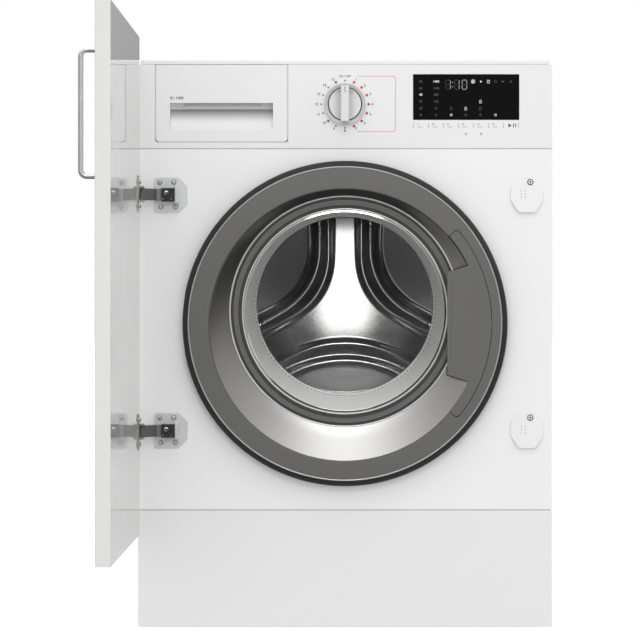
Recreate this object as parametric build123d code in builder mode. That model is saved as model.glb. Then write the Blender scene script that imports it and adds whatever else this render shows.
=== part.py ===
# A built-in washing machine with its furniture door open, in millimetres.
# The origin is on the floor, midway between the four feet. X runs across the front, Y to the back and Z up.

from math import cos, radians, sin, sqrt
import os

from build123d import *

os.makedirs("parts", exist_ok=True)

# The cabinet's outside
width = 598.0
height = 820.0
depth = 540.0
half = width / 2
front = -depth / 2
rear = depth / 2

# Walls, seams and clearances
steel = 1.0
moulding = 2.5
seam = 1.5
gap = 0.3
running = 0.05

# Heights of the front's three bands, and the depth of their returned edges
kick_floor_gap = 2.0
kick_top = 169.5
panel_bottom = kick_top + seam
fascia_bottom = height - 127.5
panel_top = fascia_bottom - seam
cover_rim = 6.5
shell_top = height - cover_rim
fascia_top = shell_top - gap
return_depth = 12.0
shell_front = front + return_depth + gap
rear_inset = 8.0
rear_wall = rear - rear_inset
flange = 14.0

# Feet and base
foot_inset_x = 34.0
foot_inset_y = 55.0
foot_x = half - foot_inset_x
foot_y = rear - foot_inset_y
foot_pad_r = 20.0
foot_pad_h = 10.0
foot_hex_r = 9.0
base_bottom = 22.0
base_h = 40.0
base_wall = 4.0
base_floor = 3.0
base_block = 26.0
base_front = front + 24.0
base_rear = rear_wall - 4.0
base_half = half - steel - gap
base_top = base_bottom + base_h
base_rib_y = 120.0
base_rib_h = 20.0

# The drum's axis, and the tub that carries it
drum_z = 466.0
tub_r = 250.0
tub_wall = 3.0
tub_face = front + 62.0
tub_mouth_r = 171.0
tub_cover_t = 4.0
tub_cover_r = tub_r + 2.5
tub_joint = tub_face + tub_cover_t
tub_back = rear - 105.0
tub_back_t = 4.0
tub_inside_back = tub_back - tub_back_t
rib_h = 20.0
rib_t = 3.0
rib_count = 12
hub_r = 38.0
hub_end = tub_back + 41.0

# The drum, its pressed back and the spider behind it
drum_r = 233.0
drum_sheet = 1.0
drum_mouth_r = 150.0
drum_front = tub_joint + 12.0
drum_back = tub_inside_back - 27.0
petal_r = 212.0
petal_h = 12.0
petal_corner_r = 42.0
channel_w = 33.0
lifter_w = 66.0
lifter_h = 48.0
lifter_top_w = 22.0
spider_t = 22.0
spider_w = 34.0
spider_r = drum_r - 12.0
shaft_r = 15.0
shaft_end_r = 10.0

# Drive
pulley_r = 140.0
pulley_w = 14.0
pulley_rim = 8.0
pulley_web = 4.0
pulley_windows = 5
pulley_hub_r = 24.0
pulley_front = hub_end + 8.0
pulley_back = pulley_front + pulley_w
belt_t = 4.0
belt_w = 11.0
motor_x = 95.0
motor_z = 118.0
motor_r = 62.0
motor_front = 30.0
motor_back = 180.0
motor_pulley_r = 9.5
motor_shaft_r = 5.0
motor_bore = motor_back - 80.0

# Suspension
spring_x = 215.0
spring_y = 20.0
spring_r = 12.0
spring_hook = 13.0
spring_hook_t = 4.0
lug_top = drum_z + 153.0
bracket_z = height - 30.0
damper_x = 170.0
damper_r = 14.0
damper_rod_r = 5.0
damper_top = 200.0
damper_lug_z = 262.0
clevis_h = 45.0
clevis_top = base_bottom + base_floor + clevis_h

# The porthole: its ring, mouth and bowl are not concentric
ring_z = drum_z - 26.5
ring_r = 234.0
ring_edge = 9.0
mouth_z = drum_z - 28.5
mouth_r = 195.5
bowl_z = drum_z - 9.0
bowl_r = 150.5
bowl_rear_r = 134.0
bowl_wall = 4.0
bowl_depth = 101.0
bowl_gap = 1.2
ledge_r = 165.0
sight_r = 147.0
frame_gap = 2.0
frame_t = 4.0
frame_r = 226.0
frame_back = front - frame_gap
frame_front = frame_back - frame_t
ring_depth = 22.0
ring_front = frame_front - ring_depth
funnel_back = frame_front - 3.2
ledge_front = funnel_back - 2.8

# The porthole's grip and its hook
grip_seam_r = 210.5
grip_span = 40.0
grip_inner_x = 147.0
grip_inner_half = 73.5
grip_pad_angle = 25.2
grip_pad_t = 7.0
grip_t = 13.0
grip_gap = 1.0
grip_pocket = 18.0
grip_pin_x = 204.0
grip_pin_inset = 5.0
grip_pin_y = ring_front + grip_pin_inset
grip_pin_r = 2.0
grip_pin_half = 36.0
grip_lug_w = 8.0
grip_lug_h = 6.0
grip_lug_wall = 3.0
hook_x = 213.0
hook_y = frame_front - 5.0
hook_w = 6.0
hook_h = 12.0
hook_reach = 36.0
hook_nose = 6.0
hook_pin_r = 1.5
slot_left = 203.0
slot_right = 225.0
slot_half = 8.0

# The porthole's hinge
port_axis_x = -224.0
port_axis_y = front - 14.0
port_knuckle_r = 5.0
port_pin_r = 3.0
port_knuckle_half = 23.4
port_ear_gap = 0.6
port_ear_h = 12.0
port_notch_h = port_knuckle_half + port_ear_gap + port_ear_h + 2.0

# The gasket between the front panel and the tub
opening_r = 178.0
gasket_r = opening_r - 0.5
gasket_lip_r = 186.0
gasket_mouth_r = 166.0
gasket_lip_t = 1.5

# The control fascia
knob_z = fascia_bottom + 63.5
knob_r = 29.8
knob_skirt = 5.7
knob_gap = 0.8
knob_bar = 52.0
knob_bar_w = 12.2
knob_bar_h = 16.5
knob_shaft_r = 3.0
encoder_half = 12.0
encoder_t = 10.0
display_left = half - 200.5
display_w = 152.9
display_bottom = fascia_bottom + 41.0
display_h = 65.6
display_t = 3.0
drawer_left = -half + 26.2
drawer_w = 189.6
drawer_right = drawer_left + drawer_w
drawer_bottom = fascia_bottom + 9.5
drawer_gap = 1.2
scoop_left = drawer_left + 20.3
scoop_w = 148.7
scoop_bottom = drawer_bottom + 15.5
scoop_h = 40.2
scoop_depth = 20.0
scoop_lip = 10.0
scoop_wall = 2.0
skin = 3.0

# The detergent drawer's housing
housing_wall = 2.5
housing_left = drawer_left - 3.2
housing_right = drawer_right + 3.2
housing_bottom = fascia_bottom + 23.0
housing_top = height - 16.0
housing_front = front + 24.0
housing_back = front + 225.0
tray_wall = 2.0
tray_side_gap = 2.0
tray_h = 66.0
tray_back = housing_back - 15.0
nozzle_x = -150.0
nozzle_y = -70.0
nozzle_r = 18.0
nozzle_top = drum_z + 218.0
spout_bottom = housing_bottom - 13.5

# Water: the sump, pump, valve and outlet
sump_x = 190.0
sump_y = -150.0
sump_r = 22.0
sump_nozzle_z = 280.0
hose_wall = 4.0
pump_z = 95.0
pump_r = 30.0
pump_front = front + 12.0
pump_back = -95.0
pump_motor_r = 24.0
pump_motor_l = 45.0
outlet_x = half - 68.0
outlet_r = 10.0
outlet_l = 20.0
outlet_plate = 36.0
valve_x = -half + 114.0
valve_z = height - 50.0
valve_r = 13.2
valve_l = 16.0
well_half = 55.0
well_bottom = 196.0
well_front = -100.0
heater_r = 4.0
heater_half = 16.0
heater_z = well_bottom + 12.0

# The furniture door, and the one pivot that stands for its concealed hinges
furniture_w = 596.0
furniture_h = 716.0
furniture_t = 20.0
furniture_bottom = 135.0
door_gap = 36.0
pivot_reach = 32.0
pivot_to_edge = 7.0
pivot_x = -(half - 8.0)
pivot_y = front - pivot_reach
face_x = pivot_x - (door_gap - pivot_reach)
edge_y = pivot_y + pivot_to_edge
free_y = edge_y - furniture_w
hinge_low = 285.0
hinge_pitch = 340.0
hinge_heights = (hinge_low, hinge_low + hinge_pitch)
hinge_pin_r = 2.0
knuckle_r = 3.7
arm_h = 17.0
arm_t = 3.5
ear_t = 2.5
cup_r = 17.3
cup_depth = 11.5
cup_from_edge = 22.0
cup_wall = 1.2
cup_flange_h = 51.7
cup_flange_t = 1.5
plate_left = -half + 24.0
plate_w = 47.6
plate_h = 51.3
plate_t = 2.5
plate_notch = 13.0
plate_corner = 13.0
block_left = -half + 35.0
block_w = 19.0
block_front = front - 20.0
handle_inset = 50.0
handle_reach = 25.0
handle_r = 3.5
handle_bend = 5.0
handle_h = 161.0
handle_z = 629.5

# The covers over the unused hinge places on the right
cover_w = 47.6
cover_h = 51.5
cover_right = half - 12.6
cover_t = 9.0


def facing(y, z=0.0):
    """A sketch plane across the machine at depth y, seen from the front, with its origin at height z."""
    return Plane(origin=(0, y, z), x_dir=(1, 0, 0), z_dir=(0, -1, 0))


def beside(x):
    """A sketch plane through x, seen from the right: its first axis runs to the back, its second up."""
    return Plane(origin=(x, 0, 0), x_dir=(0, 1, 0), z_dir=(1, 0, 0))


def slab(x, y, z, mode=Mode.ADD):
    """A square block between pairs of limits."""
    with Locations(((x[0] + x[1]) / 2, (y[0] + y[1]) / 2, (z[0] + z[1]) / 2)):
        Box(abs(x[1] - x[0]), abs(y[1] - y[0]), abs(z[1] - z[0]), mode=mode)


def round_y(x, z, y, radius, mode=Mode.ADD):
    """A cylinder that lies along the machine's depth."""
    with Locations(Location((x, y[0], z), (-90, 0, 0))):
        Cylinder(radius, y[1] - y[0], align=(Align.CENTER, Align.CENTER, Align.MIN), mode=mode)


def round_z(x, y, z, radius, mode=Mode.ADD):
    """An upright cylinder."""
    with Locations((x, y, z[0])):
        Cylinder(radius, z[1] - z[0], align=(Align.CENTER, Align.CENTER, Align.MIN), mode=mode)


def turned(points, z):
    """A solid of revolution about the depth axis at height z, from (radius, y) points."""
    with BuildSketch(Plane.XY.offset(z)) as profile:
        with BuildLine():
            Polyline(*points, close=True)
        make_face()
    revolve(profile.sketch, axis=Axis((0, 0, z), (0, 1, 0)))


def surface_below(x, radius):
    """Height of the underside of a cylinder about the drum's axis, at x across."""
    return drum_z - sqrt(radius**2 - x**2)


def surface_above(x, radius):
    """Height of the top of a cylinder about the drum's axis, at x across."""
    return drum_z + sqrt(radius**2 - x**2)


# Feet: a round pad and a hexagon to turn it by, up against the base
with BuildPart() as levelling_feet:
    with GridLocations(2 * foot_x, 2 * foot_y, 2, 2):
        Cylinder(foot_pad_r, foot_pad_h, align=(Align.CENTER, Align.CENTER, Align.MIN))
    with BuildSketch(Plane.XY.offset(foot_pad_h)):
        with GridLocations(2 * foot_x, 2 * foot_y, 2, 2):
            RegularPolygon(foot_hex_r, 6)
    extrude(amount=base_bottom - foot_pad_h)
levelling_feet.part.label = "levelling_feet"
export_step(levelling_feet.part, "parts/levelling_feet.step")

# Base frame: an open tray with foot blocks, cross ribs and the dampers' lower seats
with BuildPart() as base_frame:
    slab((-base_half, base_half), (base_front, base_rear), (base_bottom, base_top))
    slab(
        (-base_half + base_wall, base_half - base_wall),
        (base_front + base_wall, base_rear - base_wall),
        (base_bottom + base_floor, base_top),
        mode=Mode.SUBTRACT,
    )
    for x in (-foot_x, foot_x):
        for y in (-foot_y, foot_y):
            slab((x - base_block, x + base_block), (y - base_block, y + base_block), (base_bottom, base_top))
    for y in (-base_rib_y, base_rib_y):
        slab(
            (-base_half + base_wall, base_half - base_wall),
            (y - rib_t / 2, y + rib_t / 2),
            (base_bottom + base_floor, base_bottom + base_rib_h),
        )
    for x in (-damper_x, damper_x):
        slab((x - damper_r, x + damper_r), (-damper_r, damper_r), (base_bottom, clevis_top))
base_frame.part.label = "base_frame"
export_step(base_frame.part, "parts/base_frame.step")

# Cabinet shell: sides and back in one bent sheet, with front flanges and a service opening
service_half = 185.0
service_bottom = 190.0
service_top = 700.0
with BuildPart() as cabinet_shell:
    slab((-half, half), (shell_front, rear_wall), (base_bottom, shell_top))
    slab(
        (-half + steel, half - steel),
        (shell_front + steel, rear_wall - steel),
        (base_bottom, shell_top),
        mode=Mode.SUBTRACT,
    )
    slab(
        (-half + flange, half - flange),
        (shell_front, shell_front + steel),
        (base_bottom, shell_top),
        mode=Mode.SUBTRACT,
    )
    slab(
        (-service_half, service_half),
        (rear_wall - steel, rear_wall),
        (service_bottom, service_top),
        mode=Mode.SUBTRACT,
    )
    round_y(valve_x, valve_z, (rear_wall - steel, rear_wall), valve_r + 1.0, mode=Mode.SUBTRACT)
    round_y(outlet_x, pump_z, (rear_wall - steel, rear_wall), outlet_r + gap, mode=Mode.SUBTRACT)
cabinet_shell.part.label = "cabinet_shell"
export_step(cabinet_shell.part, "parts/cabinet_shell.step")

# Rear service cover: a pressed panel over the opening, with its centre standing out behind the pulley
cover_lap = 15.0
cover_dish = 6.0
with BuildPart() as rear_service_cover:
    slab(
        (-service_half - cover_lap, service_half + cover_lap),
        (rear_wall + gap, rear_wall + gap + steel),
        (service_bottom - cover_lap, service_top + cover_lap),
    )
    service_mid = (service_bottom + service_top) / 2
    with BuildSketch(facing(rear_wall + gap, service_mid)):
        Rectangle(2 * service_half - 30.0, service_top - service_bottom - 30.0)
    extrude(amount=-cover_dish, taper=20)
    with BuildSketch(facing(rear_wall + gap, service_mid)):
        Rectangle(2 * service_half - 32.0, service_top - service_bottom - 32.0)
    extrude(amount=steel - cover_dish, taper=20, mode=Mode.SUBTRACT)
rear_service_cover.part.label = "rear_service_cover"
export_step(rear_service_cover.part, "parts/rear_service_cover.step")

# Top cover: a shallow inverted tray
cover_inset = 4.0
cover_front = front + 1.5
with BuildPart() as top_cover:
    slab((-half + cover_inset, half - cover_inset), (cover_front, rear_wall), (shell_top, height))
    slab(
        (-half + cover_inset + steel, half - cover_inset - steel),
        (cover_front + steel, rear_wall - steel),
        (shell_top, height - steel),
        mode=Mode.SUBTRACT,
    )
    chamfer(top_cover.faces().sort_by(Axis.Z)[-1].edges().sort_by(Axis.Y)[0], length=1.0)
top_cover.part.label = "top_cover"
export_step(top_cover.part, "parts/top_cover.step")

# Front rail: the channel that ties the shell's flanges behind the seam and carries the drawer's housing
rail_bottom = fascia_bottom + seam
rail_top = housing_bottom - gap
rail_depth = 18.0
with BuildPart() as front_rail:
    slab((-half + flange, half - flange), (shell_front, shell_front + rail_depth), (rail_bottom, rail_top))
    slab(
        (-half + flange, half - flange),
        (shell_front + steel, shell_front + rail_depth),
        (rail_bottom + steel, rail_top - steel),
        mode=Mode.SUBTRACT,
    )
front_rail.part.label = "front_rail"
export_step(front_rail.part, "parts/front_rail.step")

# Front panel: a shallow tray of sheet with the round opening, the lock's slot and the hinge's slots
with BuildPart() as front_panel:
    slab((-half, half), (front, front + return_depth), (panel_bottom, panel_top))
    slab(
        (-half + steel, half - steel),
        (front + steel, front + return_depth),
        (panel_bottom + steel, panel_top - steel),
        mode=Mode.SUBTRACT,
    )
    round_y(0, drum_z, (front, front + steel), opening_r, mode=Mode.SUBTRACT)
    slab(
        (slot_left, slot_right),
        (front, front + steel),
        (ring_z - slot_half, ring_z + slot_half),
        mode=Mode.SUBTRACT,
    )
    for side in (-1, 1):
        ear_inner = ring_z + side * (port_knuckle_half + port_ear_gap - 0.4)
        ear_outer = ring_z + side * (port_knuckle_half + port_ear_gap + port_ear_h + 0.4)
        slab(
            (port_axis_x - port_knuckle_r - 1.0, port_axis_x + port_knuckle_r + 1.0),
            (front, front + steel),
            (ear_inner, ear_outer),
            mode=Mode.SUBTRACT,
        )
front_panel.part.label = "front_panel"
export_step(front_panel.part, "parts/front_panel.step")

# Kick panel: a ribbed moulding clipped to the base
clip_inset = 79.0
clip_w = 20.0
kick_rib = 1.0
with BuildPart() as kick_panel:
    slab((-half, half), (front, front + return_depth), (kick_floor_gap, kick_top))
    slab(
        (-half + moulding, half - moulding),
        (front + moulding, front + return_depth),
        (kick_floor_gap + moulding, kick_top - moulding),
        mode=Mode.SUBTRACT,
    )
    for x in (-half / 2, 0.0, half / 2):
        slab(
            (x - kick_rib, x + kick_rib),
            (front + moulding, front + return_depth),
            (kick_floor_gap, kick_top),
        )
    for x in (-half + clip_inset, half - clip_inset):
        slab(
            (x - clip_w / 2, x + clip_w / 2),
            (front + moulding, base_front - gap),
            (base_bottom + clip_w / 2, base_bottom + 3 * clip_w / 2),
        )
kick_panel.part.label = "kick_panel"
export_step(kick_panel.part, "parts/kick_panel.step")

# Control fascia: a shallow moulding with places for the drawer, the knob and the display
with BuildPart() as control_fascia:
    slab((-half, half), (front, front + return_depth), (fascia_bottom, fascia_top))
    slab(
        (-half + moulding, half - moulding),
        (front + skin, front + return_depth),
        (fascia_bottom + moulding, fascia_top - moulding),
        mode=Mode.SUBTRACT,
    )
    slab(
        (drawer_left - drawer_gap, drawer_right + drawer_gap),
        (front, front + return_depth),
        (drawer_bottom - drawer_gap, fascia_top),
        mode=Mode.SUBTRACT,
    )
    slab(
        (display_left - gap, display_left + display_w + gap),
        (front, front + return_depth),
        (display_bottom - gap, display_bottom + display_h + gap),
        mode=Mode.SUBTRACT,
    )
    round_y(0, knob_z, (front, front + skin), knob_shaft_r + 2.0, mode=Mode.SUBTRACT)
control_fascia.part.label = "control_fascia"
export_step(control_fascia.part, "parts/control_fascia.step")

# Display window: a dark glazed plate flush with the fascia
with BuildPart() as display_window:
    slab(
        (display_left, display_left + display_w),
        (front, front + display_t),
        (display_bottom, display_bottom + display_h),
    )
    chamfer(display_window.edges().filter_by(Axis.Y), length=1.5)
display_window.part.label = "display_window"
export_step(display_window.part, "parts/display_window.step")

# Control board: the circuit board behind the display, with its relays, a plug and the display's module
board_left = 20.0
board_right = half - return_depth - 2.0
board_bottom = fascia_bottom + 23.5
board_top = fascia_top - 13.0
board_t = 1.6
board_front = front + 24.0
board_back = board_front + board_t
relay = 16.0
relay_bottom = board_bottom + 6.0
relay_places = (board_left + 20.0, board_left + 42.0, board_left + 64.0, board_right - 45.0)
module_inset = 4.0
plug_left = display_left + 21.0
plug_w = 80.0
plug_h = 12.0
plug_depth = 11.0
with BuildPart() as control_board:
    slab((board_left, board_right), (board_front, board_back), (board_bottom, board_top))
    slab(
        (display_left + module_inset, display_left + display_w - module_inset),
        (front + display_t + gap, board_front),
        (display_bottom + module_inset, display_bottom + display_h - module_inset),
    )
    for x in relay_places:
        slab((x, x + relay), (board_back, board_back + relay), (relay_bottom, relay_bottom + relay))
    slab(
        (plug_left, plug_left + plug_w),
        (board_back, board_back + plug_depth),
        (board_bottom + 3.0, board_bottom + 3.0 + plug_h),
    )
control_board.part.label = "control_board"
export_step(control_board.part, "parts/control_board.step")

# Encoder: the fixed body that the knob's shaft turns in
encoder_front = front + skin + 10.0
foot_half = 8.0
with BuildPart() as encoder_body:
    slab(
        (-encoder_half, encoder_half),
        (encoder_front, encoder_front + encoder_t),
        (knob_z - encoder_half, knob_z + encoder_half),
    )
    slab(
        (encoder_half, board_left + 6.0),
        (board_front - 4.0, board_front),
        (knob_z - foot_half, knob_z + foot_half),
    )
    round_y(0, knob_z, (encoder_front, encoder_front + encoder_t), knob_shaft_r + running, mode=Mode.SUBTRACT)
encoder_body.part.label = "encoder_body"
export_step(encoder_body.part, "parts/encoder_body.step")

# Programme knob: a round skirt with a bar across it, and the shaft that turns in the encoder
skirt_back = front - knob_gap
skirt_front = skirt_back - knob_skirt
with BuildPart() as program_knob:
    round_y(0, knob_z, (skirt_front, skirt_back), knob_r)
    round_y(0, knob_z, (skirt_back, encoder_front + encoder_t), knob_shaft_r)
    with BuildSketch(facing(skirt_front, knob_z)):
        SlotOverall(knob_bar, knob_bar_w, rotation=90)
    extrude(amount=knob_bar_h)
program_knob.part.label = "program_knob"
export_step(program_knob.part, "parts/program_knob.step")

# Drawer front: a skin with a scooped grip that runs up behind its lip
scoop_top = scoop_bottom + scoop_h
with BuildPart() as drawer_front:
    slab((drawer_left, drawer_right), (front, front + skin), (drawer_bottom, fascia_top - gap))
    fillet(drawer_front.edges().filter_by(Axis.Y).group_by(Axis.Z)[0], radius=4.0)
    slab(
        (scoop_left - scoop_wall, scoop_left + scoop_w + scoop_wall),
        (front + skin, front + scoop_depth + scoop_wall),
        (scoop_bottom - scoop_wall, scoop_top + scoop_lip + scoop_wall),
    )
    with BuildSketch(beside(scoop_left)):
        with BuildLine():
            floor = ThreePointArc(
                (front, scoop_bottom),
                (front + 0.72 * scoop_depth, scoop_bottom + 0.3 * scoop_h),
                (front + scoop_depth, scoop_bottom + 0.8 * scoop_h),
            )
            Polyline(
                floor @ 1,
                (front + scoop_depth, scoop_top + scoop_lip),
                (front + skin, scoop_top + scoop_lip),
                (front + skin, scoop_top),
                (front, scoop_top),
                floor @ 0,
            )
        make_face()
    extrude(amount=scoop_w, mode=Mode.SUBTRACT)
drawer_front.part.label = "drawer_front"
export_step(drawer_front.part, "parts/drawer_front.step")

# Detergent tray: three open compartments behind the drawer front
tray_front = front + scoop_depth + scoop_wall
tray_left = housing_left + housing_wall + tray_side_gap
tray_right = housing_right - housing_wall - tray_side_gap
tray_bottom = housing_bottom + housing_wall + gap
side_compartment = 48.0
tray_dividers = (tray_left + side_compartment, tray_right - side_compartment)
tray_walls = (tray_left, *tray_dividers, tray_right - tray_wall)
with BuildPart() as detergent_tray:
    slab((tray_left, tray_right), (tray_front, tray_back), (tray_bottom, tray_bottom + tray_h))
    for left, right in zip(tray_walls[:-1], tray_walls[1:]):
        slab(
            (left + tray_wall, right),
            (tray_front + tray_wall, tray_back - tray_wall),
            (tray_bottom + tray_wall, tray_bottom + tray_h),
            mode=Mode.SUBTRACT,
        )
detergent_tray.part.label = "detergent_tray"
export_step(detergent_tray.part, "parts/detergent_tray.step")

# Siphon insert: a lid over the softener compartment with the tube that draws it empty
siphon_left = tray_dividers[1] + tray_wall + gap
siphon_right = tray_right - tray_wall - gap
siphon_back = tray_back - tray_wall - gap
siphon_l = 70.0
siphon_lid = tray_bottom + tray_h - 16.0
siphon_x = (siphon_left + siphon_right) / 2
tube = 12.0
with BuildPart() as siphon_insert:
    slab(
        (siphon_left, siphon_right),
        (siphon_back - siphon_l, siphon_back),
        (siphon_lid, siphon_lid + tray_wall),
    )
    slab(
        (siphon_x - tube / 2, siphon_x + tube / 2),
        (siphon_back - 2.5 * tube, siphon_back - 1.5 * tube),
        (tray_bottom + 2 * tray_wall, siphon_lid),
    )
siphon_insert.part.label = "siphon_insert"
export_step(siphon_insert.part, "parts/siphon_insert.step")

# Drawer housing: a five-sided box open to the front, with the spout that feeds the tub
with BuildPart() as drawer_housing:
    slab((housing_left, housing_right), (housing_front, housing_back), (housing_bottom, housing_top))
    slab(
        (housing_left + housing_wall, housing_right - housing_wall),
        (housing_front, housing_back - housing_wall),
        (housing_bottom + housing_wall, housing_top - housing_wall),
        mode=Mode.SUBTRACT,
    )
    round_z(nozzle_x, nozzle_y, (spout_bottom, housing_bottom), nozzle_r)
    round_z(
        nozzle_x,
        nozzle_y,
        (spout_bottom, housing_bottom + housing_wall),
        nozzle_r - hose_wall,
        mode=Mode.SUBTRACT,
    )
drawer_housing.part.label = "drawer_housing"
export_step(drawer_housing.part, "parts/drawer_housing.step")

# Inlet valve: the threaded nipple at the back, the valve's body and the pipe forward to the drawer's housing
valve_front = rear_wall - 62.0
valve_back = rear_wall - 30.0
valve_half = 20.0
valve_flange = 24.0
pipe_rise = 14.0
pipe_r = 8.0
with BuildPart() as inlet_valve:
    round_y(valve_x, valve_z, (valve_back, rear_wall + gap + valve_l), valve_r)
    slab(
        (valve_x - valve_flange, valve_x + valve_flange),
        (rear_wall + gap, rear_wall + moulding),
        (valve_z - 19.0, valve_z + 19.0),
    )
    slab(
        (valve_x - valve_half, valve_x + valve_half),
        (valve_front, valve_back),
        (valve_z - 22.0, valve_z + 28.0),
    )
    round_y(valve_x, valve_z + pipe_rise, (housing_back, valve_front), pipe_r)
inlet_valve.part.label = "inlet_valve"
export_step(inlet_valve.part, "parts/inlet_valve.step")

# Mains inlet: the gland in the back that the supply lead would come out of
gland_x = half - 69.0
gland_z = height - 50.0
gland_nut_r = 11.0
gland_nut = 8.0
gland_bore = 4.0
gland_half = 16.0
gland_body = 22.0
with BuildPart() as mains_gland:
    with BuildSketch(facing(rear_wall + gap + gland_nut, gland_z)):
        with Locations((gland_x, 0)):
            RegularPolygon(gland_nut_r, 6)
            Circle(gland_bore, mode=Mode.SUBTRACT)
    extrude(amount=gland_nut)
    slab(
        (gland_x - gland_half, gland_x + gland_half),
        (rear_wall - steel - gland_body, rear_wall - steel),
        (gland_z - gland_half, gland_z + gland_half),
    )
mains_gland.part.label = "mains_gland"
export_step(mains_gland.part, "parts/mains_gland.step")

# Tub front: the flat annular cover that the gasket is fastened to
with BuildPart() as tub_front:
    round_y(0, drum_z, (tub_face, tub_joint), tub_cover_r)
    round_y(0, drum_z, (tub_face, tub_joint), tub_mouth_r, mode=Mode.SUBTRACT)
tub_front.part.label = "tub_front"
export_step(tub_front.part, "parts/tub_front.step")

# Tub rear: the deep shell with its hub and bearings, radial ribs, heater well, nozzles and suspension lugs
motor_lug_top = motor_z + motor_r + 1.0
motor_lug_half = 25.0
motor_lugs = (motor_front + 20.0, motor_back - 30.0)
lug_half_t = 8.0
with BuildPart() as tub_rear:
    round_y(0, drum_z, (tub_joint, tub_back), tub_r)
    round_y(0, drum_z, (tub_back, hub_end), hub_r)
    with BuildSketch(facing(tub_back, drum_z)):
        with PolarLocations((hub_r + tub_r) / 2 - 4.0, rib_count):
            Rectangle(tub_r - hub_r, rib_t)
    extrude(amount=-rib_h)
    slab((-well_half, well_half), (well_front, tub_back), (well_bottom, drum_z - 200.0))
    round_z(sump_x, sump_y, (sump_nozzle_z, drum_z - 100.0), sump_r)
    round_z(nozzle_x, nozzle_y, (drum_z + 100.0, nozzle_top), nozzle_r)
    for side in (-1, 1):
        slab(
            (side * (spring_x - 14.0), side * (spring_x + 14.0)),
            (spring_y - 12.0, spring_y + 12.0),
            (drum_z + 90.0, lug_top),
        )
        slab(
            (side * (damper_x - 12.0), side * (damper_x + 12.0)),
            (-12.0, 12.0),
            (damper_lug_z, drum_z - 160.0),
        )
    for y in motor_lugs:
        slab(
            (motor_x - motor_lug_half, motor_x + motor_lug_half),
            (y - lug_half_t, y + lug_half_t),
            (motor_lug_top, surface_below(motor_x, tub_r) + 20.0),
        )
    round_y(0, drum_z, (tub_joint, tub_inside_back), tub_r - tub_wall, mode=Mode.SUBTRACT)
    slab(
        (-well_half + tub_wall, well_half - tub_wall),
        (well_front + tub_wall, tub_inside_back),
        (well_bottom + tub_wall, drum_z - 200.0),
        mode=Mode.SUBTRACT,
    )
    slab(
        (-heater_half - 6.0, heater_half + 6.0),
        (tub_inside_back, tub_back),
        (heater_z - 7.0, heater_z + 7.0),
        mode=Mode.SUBTRACT,
    )
    round_z(sump_x, sump_y, (sump_nozzle_z, drum_z - 100.0), sump_r - hose_wall, mode=Mode.SUBTRACT)
    round_z(nozzle_x, nozzle_y, (drum_z + 100.0, nozzle_top), nozzle_r - hose_wall, mode=Mode.SUBTRACT)
    round_y(0, drum_z, (tub_inside_back, hub_end), shaft_r + running, mode=Mode.SUBTRACT)
tub_rear.part.label = "tub_rear"
export_step(tub_rear.part, "parts/tub_rear.step")

# Drum: one thin shell with a rolled-in front and three petals pressed into its back
petal_angles = (30.0, 150.0, 270.0)
with BuildPart() as drum:
    turned(
        (
            (drum_mouth_r, drum_front),
            (drum_r, drum_front),
            (drum_r, drum_back + drum_sheet),
            (0, drum_back + drum_sheet),
            (0, drum_back),
            (drum_r - drum_sheet, drum_back),
            (drum_r - drum_sheet, drum_front + drum_sheet),
            (drum_mouth_r, drum_front + drum_sheet),
        ),
        drum_z,
    )
    with BuildSketch(facing(drum_back, drum_z)) as petals:
        corner = channel_w / 2 / sin(radians(60))
        for angle in petal_angles:
            with BuildSketch(mode=Mode.PRIVATE) as petal:
                with Locations(Location((0, 0, 0), (0, 0, angle))):
                    Polygon(
                        (corner, 0),
                        (petal_r * cos(radians(50)), -petal_r * sin(radians(50))),
                        (petal_r * cos(radians(20)), -petal_r * sin(radians(20))),
                        (petal_r * cos(radians(20)), petal_r * sin(radians(20))),
                        (petal_r * cos(radians(50)), petal_r * sin(radians(50))),
                        align=None,
                    )
                fillet(petal.vertices().sort_by(SortBy.DISTANCE)[0], radius=petal_corner_r)
            add(petal.sketch)
    extrude(amount=petal_h)
    with BuildSketch(facing(drum_back + drum_sheet, drum_z)):
        add(petals.sketch_local)
        offset(amount=-drum_sheet)
    extrude(amount=petal_h, mode=Mode.SUBTRACT)
drum.part.label = "drum"
export_step(drum.part, "parts/drum.step")

# Lifters: three moulded paddles along the inside of the drum
lifter_front = drum_front + 14.0
lifter_back = drum_back - petal_h - 8.0
with BuildPart() as drum_lifters:
    with BuildSketch(facing(lifter_front, drum_z)):
        for angle in petal_angles:
            with Locations(Location((0, 0, 0), (0, 0, angle - 90.0))):
                Polygon(
                    (-lifter_w / 2, drum_r),
                    (-lifter_top_w / 2, drum_r - lifter_h),
                    (lifter_top_w / 2, drum_r - lifter_h),
                    (lifter_w / 2, drum_r),
                    align=None,
                )
        Circle(drum_r - drum_sheet - gap, mode=Mode.INTERSECT)
    extrude(amount=lifter_front - lifter_back)
drum_lifters.part.label = "drum_lifters"
export_step(drum_lifters.part, "parts/drum_lifters.step")

# Spider and shaft: a cast three-armed carrier behind the drum, on the shaft that it is cast round
spider_front = drum_back + drum_sheet
with BuildPart() as drum_spider:
    with BuildSketch(facing(spider_front, drum_z)):
        Circle(hub_r)
        with PolarLocations(spider_r / 2, 3, start_angle=90.0):
            Rectangle(spider_r, spider_w)
    extrude(amount=-spider_t)
    round_y(0, drum_z, (spider_front + spider_t, pulley_front - 1.0), shaft_r)
    round_y(0, drum_z, (pulley_front - 1.0, pulley_back), shaft_end_r)
drum_spider.part.label = "drum_spider"
export_step(drum_spider.part, "parts/drum_spider.step")

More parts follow.
